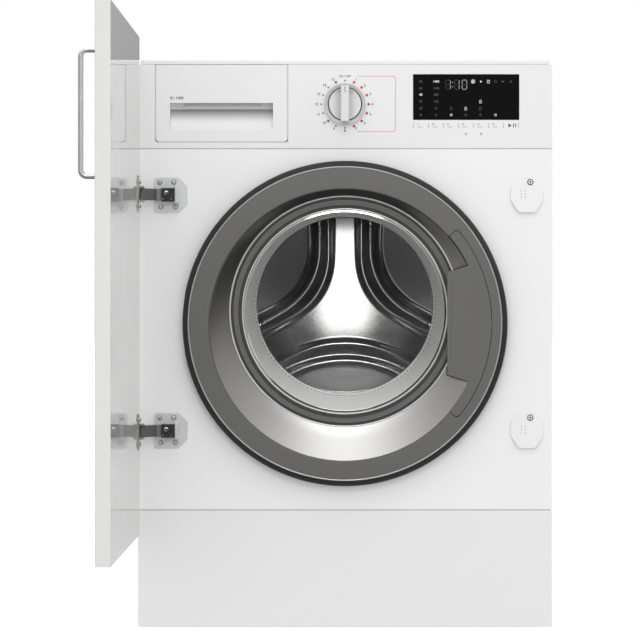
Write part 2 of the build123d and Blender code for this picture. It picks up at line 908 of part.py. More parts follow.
# Pulley: a rim, a web with windows, and a hub on the shaft's end
window = ((38.0, -14.0), (122.0, -52.0), (122.0, 52.0), (38.0, 14.0))
with BuildPart() as drum_pulley:
    round_y(0, drum_z, (pulley_front, pulley_back), pulley_r)
    round_y(0, drum_z, (pulley_front + pulley_web, pulley_back), pulley_r - pulley_rim, mode=Mode.SUBTRACT)
    round_y(0, drum_z, (pulley_front + pulley_web, pulley_back), pulley_hub_r)
    with BuildSketch(facing(pulley_front + pulley_web, drum_z)):
        with PolarLocations(0, pulley_windows):
            Polygon(*window, align=None)
    extrude(amount=pulley_web, mode=Mode.SUBTRACT)
    round_y(0, drum_z, (pulley_front, pulley_back), shaft_end_r, mode=Mode.SUBTRACT)
drum_pulley.part.label = "drum_pulley"
export_step(drum_pulley.part, "parts/drum_pulley.step")

bolt_head = 7.0
bolt_r = 15.0
with BuildPart() as pulley_bolt:
    with BuildSketch(facing(pulley_back + bolt_head, drum_z)):
        RegularPolygon(bolt_r, 6)
    extrude(amount=bolt_head)
pulley_bolt.part.label = "pulley_bolt"
export_step(pulley_bolt.part, "parts/pulley_bolt.step")

# Belt: a flat loop round the drum's pulley and the motor's
belt_back = (pulley_front + pulley_back + belt_w) / 2
with BuildPart() as drive_belt:
    for reach, mode in ((gap + belt_t, Mode.ADD), (gap, Mode.SUBTRACT)):
        with BuildSketch(facing(belt_back, drum_z)):
            Circle(pulley_r + reach)
            with Locations((motor_x, motor_z - drum_z)):
                Circle(motor_pulley_r + reach)
            make_hull()
        extrude(amount=belt_w, mode=mode)
drive_belt.part.label = "drive_belt"
export_step(drive_belt.part, "parts/drive_belt.step")

# Motor: its case with two lugs under the tub, bored for the rotor
with BuildPart() as motor:
    round_y(motor_x, motor_z, (motor_front, motor_back), motor_r)
    for y in motor_lugs:
        slab(
            (motor_x - motor_lug_half, motor_x + motor_lug_half),
            (y - lug_half_t, y + lug_half_t),
            (motor_z, motor_lug_top - gap),
        )
    round_y(motor_x, motor_z, (motor_bore, motor_back), motor_shaft_r + running, mode=Mode.SUBTRACT)
motor.part.label = "motor"
export_step(motor.part, "parts/motor.step")

with BuildPart() as motor_rotor:
    round_y(motor_x, motor_z, (motor_bore + gap, pulley_back), motor_shaft_r)
    round_y(motor_x, motor_z, (pulley_front, pulley_back), motor_pulley_r)
motor_rotor.part.label = "motor_rotor"
export_step(motor_rotor.part, "parts/motor_rotor.step")

# Heater: a loop in the well and the plate that closes the tub's slot
with BuildPart() as heater:
    loop_front = well_front + 20.0
    for x in (-heater_half, heater_half):
        round_y(x, heater_z, (loop_front, tub_back), heater_r)
    slab(
        (-heater_half - heater_r, heater_half + heater_r),
        (loop_front - heater_r, loop_front + heater_r),
        (heater_z - heater_r, heater_z + heater_r),
    )
    slab(
        (-heater_half - 12.0, heater_half + 12.0),
        (tub_back, tub_back + 3.0),
        (heater_z - 11.0, heater_z + 11.0),
    )
heater.part.label = "heater"
export_step(heater.part, "parts/heater.step")

# Counterweights: a block on top of the tub and a crescent round the lower half of its face
weight_left = -60.0
weight_right = 150.0
weight_y = (-60.0, 120.0)
weight_rise = 58.0
weight_bottom = surface_above(weight_right, tub_r) - 2.0
with BuildPart() as counterweight_top:
    slab((weight_left, weight_right), weight_y, (weight_bottom, drum_z + tub_r + weight_rise))
    round_y(0, drum_z, weight_y, tub_r + gap, mode=Mode.SUBTRACT)
counterweight_top.part.label = "counterweight_top"
export_step(counterweight_top.part, "parts/counterweight_top.step")

crescent_start = 205.0
crescent_sweep = 130.0
crescent_depth = 36.0
with BuildPart() as counterweight_front:
    with BuildSketch(facing(tub_face - gap, drum_z)):
        with BuildLine():
            outer = CenterArc((0, 0), tub_r - 4.0, crescent_start, crescent_sweep)
            inner = CenterArc((0, 0), tub_mouth_r + 14.0, crescent_start, crescent_sweep)
            Line(outer @ 0, inner @ 0)
            Line(outer @ 1, inner @ 1)
        make_face()
    extrude(amount=crescent_depth)
counterweight_front.part.label = "counterweight_front"
export_step(counterweight_front.part, "parts/counterweight_front.step")

# Suspension: two brackets on the shell's sides, two springs down to the tub's shoulders
bracket_half = 15.0
bracket_t = 3.0
with BuildPart() as suspension_brackets:
    for side in (-1, 1):
        slab(
            (side * (spring_x - 12.0), side * (half - steel)),
            (spring_y - bracket_half, spring_y + bracket_half),
            (bracket_z, bracket_z + bracket_t),
        )
        slab(
            (side * (half - steel - 2.0), side * (half - steel)),
            (spring_y - bracket_half, spring_y + bracket_half),
            (bracket_z - 2 * bracket_half, bracket_z),
        )
suspension_brackets.part.label = "suspension_brackets"
export_step(suspension_brackets.part, "parts/suspension_brackets.step")

with BuildPart() as tub_springs:
    for x in (-spring_x, spring_x):
        round_z(x, spring_y, (lug_top + spring_hook, bracket_z - spring_hook), spring_r)
        for z in (lug_top, bracket_z - spring_hook):
            slab(
                (x - spring_hook_t / 2, x + spring_hook_t / 2),
                (spring_y - 7.0, spring_y + 7.0),
                (z, z + spring_hook),
            )
tub_springs.part.label = "tub_springs"
export_step(tub_springs.part, "parts/tub_springs.step")

# Dampers: cylinders on the base and rods from the tub that slide in them
rod_bottom = damper_top - 50.0
rod_travel = 20.0
with BuildPart() as damper_cylinders:
    for x in (-damper_x, damper_x):
        round_z(x, 0, (clevis_top, damper_top), damper_r)
        round_z(x, 0, (rod_bottom - rod_travel, damper_top), damper_rod_r + running, mode=Mode.SUBTRACT)
damper_cylinders.part.label = "damper_cylinders"
export_step(damper_cylinders.part, "parts/damper_cylinders.step")

with BuildPart() as damper_rods:
    for x in (-damper_x, damper_x):
        round_z(x, 0, (rod_bottom, damper_lug_z), damper_rod_r)
damper_rods.part.label = "damper_rods"
export_step(damper_rods.part, "parts/damper_rods.step")

# Drain pump: the filter's housing, its inlet on top, the outlet's elbow beside it and the motor behind
pump_top = pump_z + pump_r + 4.0
outlet_start = pump_back - 2.0
elbow = 24.0
pump_foot = 40.0
with BuildPart() as drain_pump:
    round_y(sump_x, pump_z, (pump_front, pump_back), pump_r)
    round_y(sump_x, pump_z, (pump_back, pump_back + pump_motor_l), pump_motor_r)
    slab((sump_x - sump_r, sump_x + sump_r), (sump_y - sump_r, sump_y + sump_r), (pump_z, pump_top))
    slab(
        (sump_x - pump_foot / 2, sump_x + pump_foot / 2),
        (sump_y - 25.0, sump_y + 25.0),
        (base_bottom + base_floor, pump_z - 20.0),
    )
    slab(
        (sump_x, outlet_x + elbow / 2),
        (pump_back - elbow, outlet_start),
        (pump_z - elbow / 2, pump_z + elbow / 2),
    )
drain_pump.part.label = "drain_pump"
export_step(drain_pump.part, "parts/drain_pump.step")

# Fill hose: from the drawer's spout down to the nozzle on top of the tub
with BuildPart() as fill_hose:
    round_z(nozzle_x, nozzle_y, (nozzle_top + gap, spout_bottom), nozzle_r)
    round_z(nozzle_x, nozzle_y, (nozzle_top + gap, spout_bottom), nozzle_r - hose_wall, mode=Mode.SUBTRACT)
fill_hose.part.label = "fill_hose"
export_step(fill_hose.part, "parts/fill_hose.step")

# Sump hose: from the tub's lowest point down to the pump
with BuildPart() as sump_hose:
    round_z(sump_x, sump_y, (pump_top, sump_nozzle_z - gap), sump_r)
    round_z(sump_x, sump_y, (pump_top, sump_nozzle_z - gap), sump_r - hose_wall, mode=Mode.SUBTRACT)
sump_hose.part.label = "sump_hose"
export_step(sump_hose.part, "parts/sump_hose.step")

# Drain outlet: the pipe from the pump's side and the spigot at the back that a waste hose pushes over
with BuildPart() as drain_outlet:
    round_y(outlet_x, pump_z, (outlet_start, rear_wall + gap + outlet_l), outlet_r)
    slab(
        (outlet_x - outlet_plate / 2, outlet_x + outlet_plate / 2),
        (rear_wall + gap, rear_wall + 3.0),
        (pump_z - outlet_plate / 2, pump_z + outlet_plate / 2),
    )
drain_outlet.part.label = "drain_outlet"
export_step(drain_outlet.part, "parts/drain_outlet.step")

# Gasket: a rubber sleeve with a lip over the front panel's edge
with BuildPart() as door_gasket:
    turned(
        (
            (gasket_mouth_r, frame_back + gap),
            (gasket_lip_r, frame_back + gap),
            (gasket_r, frame_back + gap + gasket_lip_t),
            (gasket_r, tub_face - gap),
            (gasket_mouth_r, tub_face - gap),
        ),
        drum_z,
    )
door_gasket.part.label = "door_gasket"
export_step(door_gasket.part, "parts/door_gasket.step")


def grip_outline(margin=0.0):
    """The grip seen from the front: a pad with a straight inner edge on a crescent inside the ring."""
    centre = (0, ring_z)
    with BuildLine() as outline:
        outer = CenterArc(centre, grip_seam_r, -grip_span, 2 * grip_span)
        lower = CenterArc(centre, mouth_r, -grip_span, grip_span - grip_pad_angle)
        upper = CenterArc(centre, mouth_r, grip_pad_angle, grip_span - grip_pad_angle)
        Line(outer @ 0, lower @ 0)
        Polyline(
            lower @ 1,
            (grip_inner_x, ring_z - grip_inner_half),
            (grip_inner_x, ring_z + grip_inner_half),
            upper @ 0,
        )
        Line(upper @ 1, outer @ 1)
    make_face(outline.edges())
    if margin:
        offset(amount=margin)


# Porthole's outer ring: a dark moulding round an eccentric mouth, notched for the hinge and the grip
with BuildPart() as porthole_ring:
    turned(
        (
            (0, frame_front),
            (ring_r, frame_front),
            (ring_r, ring_front + ring_edge),
            (ring_r - ring_edge, ring_front),
            (0, ring_front),
        ),
        ring_z,
    )
    round_y(0, mouth_z, (ring_front, frame_front), mouth_r, mode=Mode.SUBTRACT)
    slab(
        (-ring_r - 5.0, port_axis_x + 22.0),
        (port_axis_y - port_knuckle_r - 1.5, frame_front),
        (ring_z - port_notch_h, ring_z + port_notch_h),
        mode=Mode.SUBTRACT,
    )
    with BuildSketch(facing(ring_front + grip_pocket)):
        grip_outline(grip_gap)
    extrude(amount=grip_pocket, mode=Mode.SUBTRACT)
    for side in (-1, 1):
        lug_z = ring_z + side * (grip_pin_half - grip_lug_h / 2)
        slab(
            (grip_pin_x - grip_lug_w / 2, grip_pin_x + grip_lug_w / 2),
            (grip_pin_y - grip_lug_wall, ring_front + grip_pocket),
            (lug_z - grip_lug_h / 2, lug_z + grip_lug_h / 2),
        )
    with Locations((grip_pin_x, grip_pin_y, ring_z)):
        Cylinder(grip_pin_r, 2 * grip_pin_half, mode=Mode.SUBTRACT)
    slab(
        (slot_left, slot_right),
        (hook_y - 8.0, frame_front),
        (ring_z - slot_half, ring_z + slot_half),
        mode=Mode.SUBTRACT,
    )
porthole_ring.part.label = "porthole_ring"
export_step(porthole_ring.part, "parts/porthole_ring.step")

# Porthole's funnel: the bright bevel that falls from the mouth to a flat ledge round the glass
with BuildPart() as porthole_funnel:
    with BuildSketch(facing(funnel_back, mouth_z)):
        Circle(mouth_r - gap)
    extrude(amount=funnel_back - ring_front - 1.0)
    with BuildSketch(facing(ledge_front, bowl_z)):
        Circle(ledge_r)
    with BuildSketch(facing(ring_front + 1.0, mouth_z)):
        Circle(mouth_r - gap - 1.0)
    loft(ruled=True, mode=Mode.SUBTRACT)
    round_y(0, bowl_z, (ring_front, funnel_back), sight_r, mode=Mode.SUBTRACT)
    with BuildSketch(facing(funnel_back)):
        grip_outline(grip_gap)
    extrude(amount=funnel_back - ring_front, mode=Mode.SUBTRACT)
porthole_funnel.part.label = "porthole_funnel"
export_step(porthole_funnel.part, "parts/porthole_funnel.step")

# Porthole's rear frame: the plate that holds the glass and closes the ring's back
with BuildPart() as porthole_frame:
    with BuildSketch(facing(frame_back)):
        with Locations((0, ring_z)):
            Circle(frame_r)
        with Locations((0, bowl_z)):
            Circle(bowl_r + bowl_gap, mode=Mode.SUBTRACT)
    extrude(amount=frame_t)
    slab(
        (-ring_r, port_axis_x + 11.0),
        (frame_front, frame_back),
        (ring_z - port_notch_h, ring_z + port_notch_h),
        mode=Mode.SUBTRACT,
    )
    slab(
        (slot_left, slot_right),
        (frame_front, frame_back),
        (ring_z - slot_half, ring_z + slot_half),
        mode=Mode.SUBTRACT,
    )
porthole_frame.part.label = "porthole_frame"
export_step(porthole_frame.part, "parts/porthole_frame.step")

# Glass bowl: it leans up towards the drum's axis as it goes in
bowl_front = funnel_back
bowl_rear = bowl_front + bowl_depth
with BuildPart() as glass_bowl:
    for wall, end, mode in ((0.0, bowl_rear, Mode.ADD), (bowl_wall, bowl_rear - bowl_wall, Mode.SUBTRACT)):
        with BuildSketch(facing(bowl_front, bowl_z)):
            Circle(bowl_r - wall)
        with BuildSketch(facing(end, drum_z)):
            Circle(bowl_rear_r - wall)
        loft(ruled=True, mode=mode)
glass_bowl.part.label = "glass_bowl"
export_step(glass_bowl.part, "parts/glass_bowl.step")

# Grip: the lever at the right of the mouth, thin where fingers go behind it
with BuildPart() as porthole_grip:
    with BuildSketch(facing(ring_front + grip_t)):
        grip_outline()
    extrude(amount=grip_t)
    with BuildSketch(facing(ring_front + grip_t)):
        with Locations((0, ring_z)):
            Circle(mouth_r + 1.0)
    extrude(amount=grip_t - grip_pad_t, mode=Mode.SUBTRACT)
    for side in (-1, 1):
        lug_z = ring_z + side * (grip_pin_half - grip_lug_h / 2)
        slab(
            (grip_pin_x - grip_lug_w / 2 - 2 * grip_gap, grip_seam_r + grip_gap),
            (grip_pin_y - grip_lug_wall - grip_gap, ring_front + grip_t),
            (lug_z - grip_lug_h / 2 - grip_gap, lug_z + grip_lug_h / 2 + grip_gap),
            mode=Mode.SUBTRACT,
        )
    with Locations((grip_pin_x, grip_pin_y, ring_z)):
        Cylinder(grip_pin_r + running, 2 * grip_pin_half, mode=Mode.SUBTRACT)
porthole_grip.part.label = "porthole_grip"
export_step(porthole_grip.part, "parts/porthole_grip.step")

# Pins: one for the grip and one for the hook behind it
with BuildPart() as lever_pins:
    with Locations((grip_pin_x, grip_pin_y, ring_z)):
        Cylinder(grip_pin_r, 2 * grip_pin_half)
    with Locations((hook_x, hook_y, ring_z)):
        Cylinder(hook_pin_r, 2 * slot_half)
lever_pins.part.label = "lever_pins"
export_step(lever_pins.part, "parts/lever_pins.step")

# Hook: it reaches back through the front panel into the lock
with BuildPart() as latch_hook:
    slab(
        (hook_x - hook_w / 2, hook_x + hook_w / 2),
        (hook_y - hook_w / 2, hook_y + hook_reach),
        (ring_z - hook_h / 2, ring_z + hook_h / 2),
    )
    slab(
        (hook_x - hook_w / 2 - hook_nose, hook_x - hook_w / 2),
        (hook_y + hook_reach - 6.0, hook_y + hook_reach),
        (ring_z - hook_h / 2, ring_z + hook_h / 2),
    )
    with Locations((hook_x, hook_y, ring_z)):
        Cylinder(hook_pin_r + running, hook_h, mode=Mode.SUBTRACT)
latch_hook.part.label = "latch_hook"
export_step(latch_hook.part, "parts/latch_hook.step")

# Door lock: the case behind the panel's slot, hollow where the hook comes in
lock_front = front + steel + gap
lock_half = 35.0
with BuildPart() as door_lock:
    slab(
        (slot_left - 8.0, slot_right + 12.0),
        (lock_front, lock_front + 33.0),
        (ring_z - lock_half, ring_z + lock_half),
    )
    slab(
        (slot_left, slot_right),
        (lock_front, lock_front + 28.0),
        (ring_z - slot_half, ring_z + slot_half),
        mode=Mode.SUBTRACT,
    )
door_lock.part.label = "door_lock"
export_step(door_lock.part, "parts/door_lock.step")

# Porthole's hinge: ears and their pin on a plate behind the panel, and a leaf screwed to the rear frame
with BuildPart() as porthole_hinge:
    bracket_front = front + steel + gap
    slab(
        (port_axis_x - 16.0, port_axis_x + 20.0),
        (bracket_front, bracket_front + 2.5),
        (ring_z - 54.0, ring_z + 54.0),
    )
    for side in (-1, 1):
        inner = ring_z + side * (port_knuckle_half + port_ear_gap)
        outer = inner + side * port_ear_h
        slab(
            (port_axis_x - port_knuckle_r, port_axis_x + port_knuckle_r),
            (port_axis_y, bracket_front),
            (inner, outer),
        )
        round_z(port_axis_x, port_axis_y, (min(inner, outer), max(inner, outer)), port_knuckle_r)
    with Locations((port_axis_x, port_axis_y, ring_z)):
        Cylinder(port_pin_r, 2 * port_knuckle_half + 2 * port_ear_gap)
porthole_hinge.part.label = "porthole_hinge"
export_step(porthole_hinge.part, "parts/porthole_hinge.step")

with BuildPart() as porthole_hinge_leaf:
    with Locations((port_axis_x, port_axis_y, ring_z)):
        Cylinder(port_knuckle_r, 2 * port_knuckle_half)
    slab(
        (port_axis_x, port_axis_x + port_knuckle_r),
        (port_axis_y, frame_front),
        (ring_z - port_knuckle_half, ring_z + port_knuckle_half),
    )
    slab(
        (port_axis_x, port_axis_x + 21.0),
        (frame_front - 2.5, frame_front),
        (ring_z - port_knuckle_half, ring_z + port_knuckle_half),
    )
    with Locations((port_axis_x, port_axis_y, ring_z)):
        Cylinder(port_pin_r + running, 2 * port_knuckle_half, mode=Mode.SUBTRACT)
porthole_hinge_leaf.part.label = "porthole_hinge_leaf"
export_step(porthole_hinge_leaf.part, "parts/porthole_hinge_leaf.step")

# Furniture door: a kitchen front with two blind holes for its hinge cups
cup_y = edge_y - cup_from_edge
with BuildPart() as furniture_door:
    slab((face_x - furniture_t, face_x), (free_y, edge_y), (furniture_bottom, furniture_bottom + furniture_h))
    chamfer(furniture_door.faces().sort_by(Axis.X)[0].edges(), length=1.0)
    for z in hinge_heights:
        with Locations(Location((face_x, cup_y, z), (0, 90, 0))):
            Cylinder(
                cup_r + gap,
                cup_depth + gap,
                align=(Align.CENTER, Align.CENTER, Align.MAX),
                mode=Mode.SUBTRACT,
            )
furniture_door.part.label = "furniture_door"
export_step(furniture_door.part, "parts/furniture_door.step")

# Furniture door's handle: a round bar bent into a D
handle_y = free_y + handle_inset
outer_x = face_x - furniture_t
grip_x = outer_x - handle_reach + handle_r
with BuildPart() as furniture_handle:
    with BuildLine():
        Polyline(
            (outer_x, handle_y, handle_z),
            (grip_x + handle_bend, handle_y, handle_z),
            (grip_x, handle_y, handle_z + handle_bend),
            (grip_x, handle_y, handle_z + handle_h - handle_bend),
            (grip_x + handle_bend, handle_y, handle_z + handle_h),
            (outer_x, handle_y, handle_z + handle_h),
        )
    with BuildSketch(Plane(origin=(outer_x, handle_y, handle_z), z_dir=(-1, 0, 0))):
        Circle(handle_r)
    sweep(transition=Transition.RIGHT)
furniture_handle.part.label = "furniture_handle"
export_step(furniture_handle.part, "parts/furniture_handle.step")

# Hinge cups: flanged cups let into the furniture door, each with two cheeks and the pin between them
with BuildPart() as hinge_cups:
    for z in hinge_heights:
        with Locations(Location((face_x, cup_y, z), (0, 90, 0))):
            Cylinder(cup_r, cup_depth, align=(Align.CENTER, Align.CENTER, Align.MAX))
        slab(
            (face_x, face_x + cup_flange_t),
            (cup_y - cup_r - 2.0, pivot_y - knuckle_r - 2.0),
            (z - cup_flange_h / 2, z + cup_flange_h / 2),
        )
        for side in (-1, 1):
            cheek = (z + side * (arm_h / 2 + gap), z + side * (arm_h / 2 + gap + ear_t))
            slab((face_x, pivot_x + knuckle_r), (cup_y, pivot_y + knuckle_r), cheek)
        slab(
            (face_x - cup_depth + cup_wall, face_x + cup_flange_t),
            (cup_y - 11.0, edge_y),
            (z - arm_h / 2 - gap, z + arm_h / 2 + gap),
            mode=Mode.SUBTRACT,
        )
        with Locations((pivot_x, pivot_y, z)):
            Cylinder(hinge_pin_r, arm_h + 2 * gap)
hinge_cups.part.label = "hinge_cups"
export_step(hinge_cups.part, "parts/hinge_cups.step")

# Hinge arms: cranked straps from the blocks to the pivots
arm_y = block_front + 7.0
with BuildPart() as hinge_arms:
    for z in hinge_heights:
        with BuildSketch(Plane.XY.offset(z - arm_h / 2)):
            with BuildLine():
                Polyline((pivot_x, pivot_y), (block_left - 8.0, arm_y), (block_left, arm_y))
            trace(line_width=arm_t)
            with Locations((pivot_x, pivot_y)):
                Circle(knuckle_r)
        extrude(amount=arm_h)
        with Locations((pivot_x, pivot_y, z)):
            Cylinder(hinge_pin_r + running, arm_h, mode=Mode.SUBTRACT)
hinge_arms.part.label = "hinge_arms"
export_step(hinge_arms.part, "parts/hinge_arms.step")

# Hinge blocks: the dark adjusters that the arms are clamped in
with BuildPart() as hinge_blocks:
    for z in hinge_heights:
        slab(
            (block_left, block_left + block_w),
            (block_front, front - plate_t),
            (z - block_w / 2, z + block_w / 2),
        )
    chamfer(hinge_blocks.faces().filter_by(Axis.Y).group_by(Axis.Y)[0].edges(), length=1.0)
hinge_blocks.part.label = "hinge_blocks"
export_step(hinge_blocks.part, "parts/hinge_blocks.step")

# Hinge plates: flat bases on the front panel, notched on the left for the arm and cut at the right corners
with BuildPart() as hinge_plates:
    for z in hinge_heights:
        with BuildSketch(facing(front, z)):
            with BuildLine():
                Polyline(
                    (plate_left, -plate_h / 2),
                    (plate_left + plate_w - plate_corner, -plate_h / 2),
                    (plate_left + plate_w, -plate_h / 2 + plate_corner),
                    (plate_left + plate_w, plate_h / 2 - plate_corner),
                    (plate_left + plate_w - plate_corner, plate_h / 2),
                    (plate_left, plate_h / 2),
                    (plate_left, arm_h / 2),
                    (plate_left + plate_notch, arm_h / 2),
                    (plate_left + plate_notch, -arm_h / 2),
                    (plate_left, -arm_h / 2),
                    close=True,
                )
            make_face()
        extrude(amount=plate_t)
        slab(
            (block_left + block_w, block_left + block_w + 6.0),
            (front - 14.0, front - plate_t),
            (z - 11.5, z + 11.5),
        )
hinge_plates.part.label = "hinge_plates"
export_step(hinge_plates.part, "parts/hinge_plates.step")

# Hinge covers: wedges over the unused hinge places, thickest at their lower edge
with BuildPart() as hinge_covers:
    for z in hinge_heights:
        with BuildSketch(beside(cover_right - cover_w)):
            with BuildLine():
                Polyline(
                    (front, z - cover_h / 2),
                    (front - cover_t, z - cover_h / 2),
                    (front - cover_t, z - cover_h / 2 + 12.0),
                    (front - 1.0, z + cover_h / 2),
                    (front, z + cover_h / 2),
                    close=True,
                )
            make_face()
        extrude(amount=cover_w)
hinge_covers.part.label = "hinge_covers"
export_step(hinge_covers.part, "parts/hinge_covers.step")
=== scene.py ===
import math

import bmesh
import bpy
from mathutils import Matrix, Vector


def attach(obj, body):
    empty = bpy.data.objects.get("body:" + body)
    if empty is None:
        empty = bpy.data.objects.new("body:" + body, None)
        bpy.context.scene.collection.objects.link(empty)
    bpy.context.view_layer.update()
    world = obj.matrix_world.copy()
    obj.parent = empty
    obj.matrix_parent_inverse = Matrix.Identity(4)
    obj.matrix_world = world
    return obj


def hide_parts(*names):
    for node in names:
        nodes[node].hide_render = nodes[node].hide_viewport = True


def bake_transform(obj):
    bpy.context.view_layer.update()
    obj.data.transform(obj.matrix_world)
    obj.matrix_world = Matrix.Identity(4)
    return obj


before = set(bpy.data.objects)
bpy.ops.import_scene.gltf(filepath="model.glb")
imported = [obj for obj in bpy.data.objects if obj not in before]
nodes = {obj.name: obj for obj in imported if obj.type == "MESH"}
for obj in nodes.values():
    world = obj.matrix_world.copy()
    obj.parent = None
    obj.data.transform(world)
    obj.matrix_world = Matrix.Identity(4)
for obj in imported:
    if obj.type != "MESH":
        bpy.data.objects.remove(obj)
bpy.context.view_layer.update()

MM = 0.001
scene = bpy.context.scene

# Stage: a plain pale floor, a camera straight on to the front, and soft boxes high in front of the
# machine, over it, low before it and at its right. A small one lights only the drum behind the glass.
camera_place = (0.0, -5.115, 0.4617)
camera_lens = 188.8
camera_shift = (-0.039, -0.0186)
machine_middle = (0.0, -0.2, 0.45)
floor_reach = 40.0
floor_colour = (0.93, 0.93, 0.93, 1.0)
floor_glow = 0.75
floor_in_gloss = (0.045, 0.045, 0.045, 1.0)
floor_in_bounce = (0.66, 0.66, 0.66, 1.0)
room_light = 1.07
room_white = 1.0
room_gloss = ((0.0, 0.03), (0.46, 0.05), (0.52, 0.13), (0.62, 0.34), (0.78, 0.75), (1.0, 0.95))
behind_share = 1.7

scene.view_settings.view_transform = "Standard"
lens = bpy.data.cameras.new("camera")
lens.lens = camera_lens
lens.sensor_width = 36.0
lens.shift_x, lens.shift_y = camera_shift
lens.clip_end = 100.0
camera = bpy.data.objects.new("camera", lens)
camera.location = camera_place
camera.rotation_euler = (math.radians(90), 0, 0)
scene.collection.objects.link(camera)
scene.camera = camera


def feed(tree, node, fed):
    """Gives a node's inputs plain values, or links them to sockets or to nodes' first sockets."""
    for socket, value in fed.items():
        if isinstance(value, bpy.types.Node):
            value = value.outputs[0]
        if isinstance(value, bpy.types.NodeSocket):
            tree.links.new(value, node.inputs[socket])
        else:
            node.inputs[socket].default_value = value
    return node


def added(tree, kind, fed, **settings):
    """A new shader node of a kind with its settings, and with its inputs fed."""
    node = tree.nodes.new("ShaderNode" + kind)
    for setting, value in settings.items():
        setattr(node, setting, value)
    return feed(tree, node, fed)


def ray_has(tree, depth_name, times=1):
    """A node that is 1 once a ray has met that many surfaces of a kind, and 0 before."""
    met = added(tree, "LightPath", {}).outputs[depth_name]
    return added(tree, "Math", {0: met, 1: times - 0.5}, operation="GREATER_THAN")


def soft_box(name, place, aim, size, radiance, shape="RECTANGLE", through_glass=False, in_gloss=True):
    """A flat light as bright as a lit cloth of that radiance. One may light only what glass covers."""
    light = bpy.data.lights.new(name, "AREA")
    light.shape = shape
    light.size, light.size_y = size
    light.energy = radiance * math.pi * size[0] * size[1]
    box = bpy.data.objects.new(name, light)
    box.location = place
    box.rotation_euler = (Vector(aim) - Vector(place)).to_track_quat("-Z", "Y").to_euler()
    box.visible_camera = False
    box.visible_glossy = in_gloss
    box.visible_transmission = in_gloss
    scene.collection.objects.link(box)
    if through_glass:
        light.use_nodes = True
        tree = light.node_tree
        feed(tree, tree.nodes["Emission"], {"Strength": ray_has(tree, "Transmission Depth", 3)})


soft_box("front_box", (0.0, -4.3, 2.15), machine_middle, (1.3, 0.75), 6.6)
soft_box("near_box", (0.0, -1.25, 0.535), (0.0, 0.1, 0.535), (0.23, 0.39), 2.0, "ELLIPSE", through_glass=True)
soft_box("top_box", (0.0, -2.3, 3.3), machine_middle, (1.7, 1.7), 1.5)
soft_box("low_box", (0.0, -3.0, 0.5), (0.0, -0.2, 0.35), (2.0, 1.0), 2.0, in_gloss=False)
soft_box("right_box", (3.6, -2.6, 1.9), machine_middle, (0.7, 1.2), 0.9)

room = bpy.data.worlds.new("room")
scene.world = room
room.use_nodes = True
web = room.node_tree
web.nodes.clear()
ray_way = added(web, "SeparateXYZ", {0: added(web, "TexCoord", {}).outputs["Generated"]})
ray_height = added(web, "MapRange", {"From Min": -1.0, "Value": ray_way.outputs["Z"]})
sky = added(web, "ValToRGB", {"Fac": ray_height})
stops = sky.color_ramp.elements
for height, bright in room_gloss[1:-1]:
    stops.new(height)
for stop, (height, bright) in zip(stops, room_gloss):
    stop.position = height
    stop.color = (bright, bright, bright, 1.0)
behind = added(
    web,
    "MapRange",
    {"From Min": -0.2, "From Max": 0.6, "To Min": 1.0, "To Max": behind_share, "Value": ray_way.outputs["Y"]},
)
gloss_light = added(web, "Background", {"Color": sky, "Strength": behind})
soft_light = added(web, "Background", {"Strength": room_light})
open_white = added(web, "Background", {"Color": (1.0, 1.0, 1.0, 1.0), "Strength": room_white})
diffuse = ray_has(web, "Diffuse Depth")
soft_or_gloss = added(web, "MixShader", {"Fac": diffuse, 1: gloss_light, 2: soft_light})
lit_by = added(web, "Math", {0: diffuse, 1: ray_has(web, "Glossy Depth")}, operation="MAXIMUM")
whole_room = added(web, "MixShader", {"Fac": lit_by, 1: open_white, 2: soft_or_gloss})
added(web, "OutputWorld", {"Surface": whole_room})

floor_mesh = bmesh.new()
bmesh.ops.create_grid(floor_mesh, x_segments=1, y_segments=1, size=floor_reach)
floor_data = bpy.data.meshes.new("floor")
floor_mesh.to_mesh(floor_data)
floor_mesh.free()
floor = bpy.data.objects.new("floor", floor_data)
scene.collection.objects.link(floor)
floor_paint = bpy.data.materials.new("floor_paint")
floor_paint.use_nodes = True
web = floor_paint.node_tree
floor_matt = {"Base Color": floor_colour, "Roughness": 0.9, "Specular IOR Level": 0.0}
floor_lit = {"Emission Color": floor_colour, "Emission Strength": floor_glow}
shader = feed(web, web.nodes["Principled BSDF"], floor_matt | floor_lit)
for kind, tint in (("Glossy Depth", floor_in_gloss), ("Diffuse Depth", floor_in_bounce)):
    dim = added(web, "Emission", {"Color": tint})
    shader = added(web, "MixShader", {"Fac": ray_has(web, kind), 1: shader, 2: dim})
feed(web, web.nodes["Material Output"], {"Surface": shader})
floor_data.materials.append(floor_paint)

# Levelling feet: four moulded pads that the cabinet stands on, each turned by the hexagon over it
# to raise a corner. The pad is black plastic with a ribbed rim, and the stud is zinc-plated steel.
foot_places = [(x, y) for x in (-265.0, 265.0) for y in (-215.0, 215.0)]
foot_ribs = 24
foot_rib_reach = 19.1
pad_profile = [(0, 0.0), (17.5, 0.0), (19.0, 0.6), (20.0, 2.0), (20.0, 4.5), (18.6, 6.4), (12.5, 9.0)]
pad_profile += [(11.5, 10.0), (0, 10.0)]
nut_profile = [(0, 10.0), (8.3, 10.0), (9.0, 10.6), (9.0, 15.4), (8.3, 16.0), (0, 16.0)]
stud_profile = [(0, 16.0)] + [(r, 16.0 + h * 0.5) for h in range(12) for r in (4.4, 5.2)] + [(0, 22.0)]
dust_colour = (0.45, 0.43, 0.4, 1.0)
grain_depth = 0.0004
FLOAT = "NodeSocketFloat"
VECTOR = "NodeSocketVector"


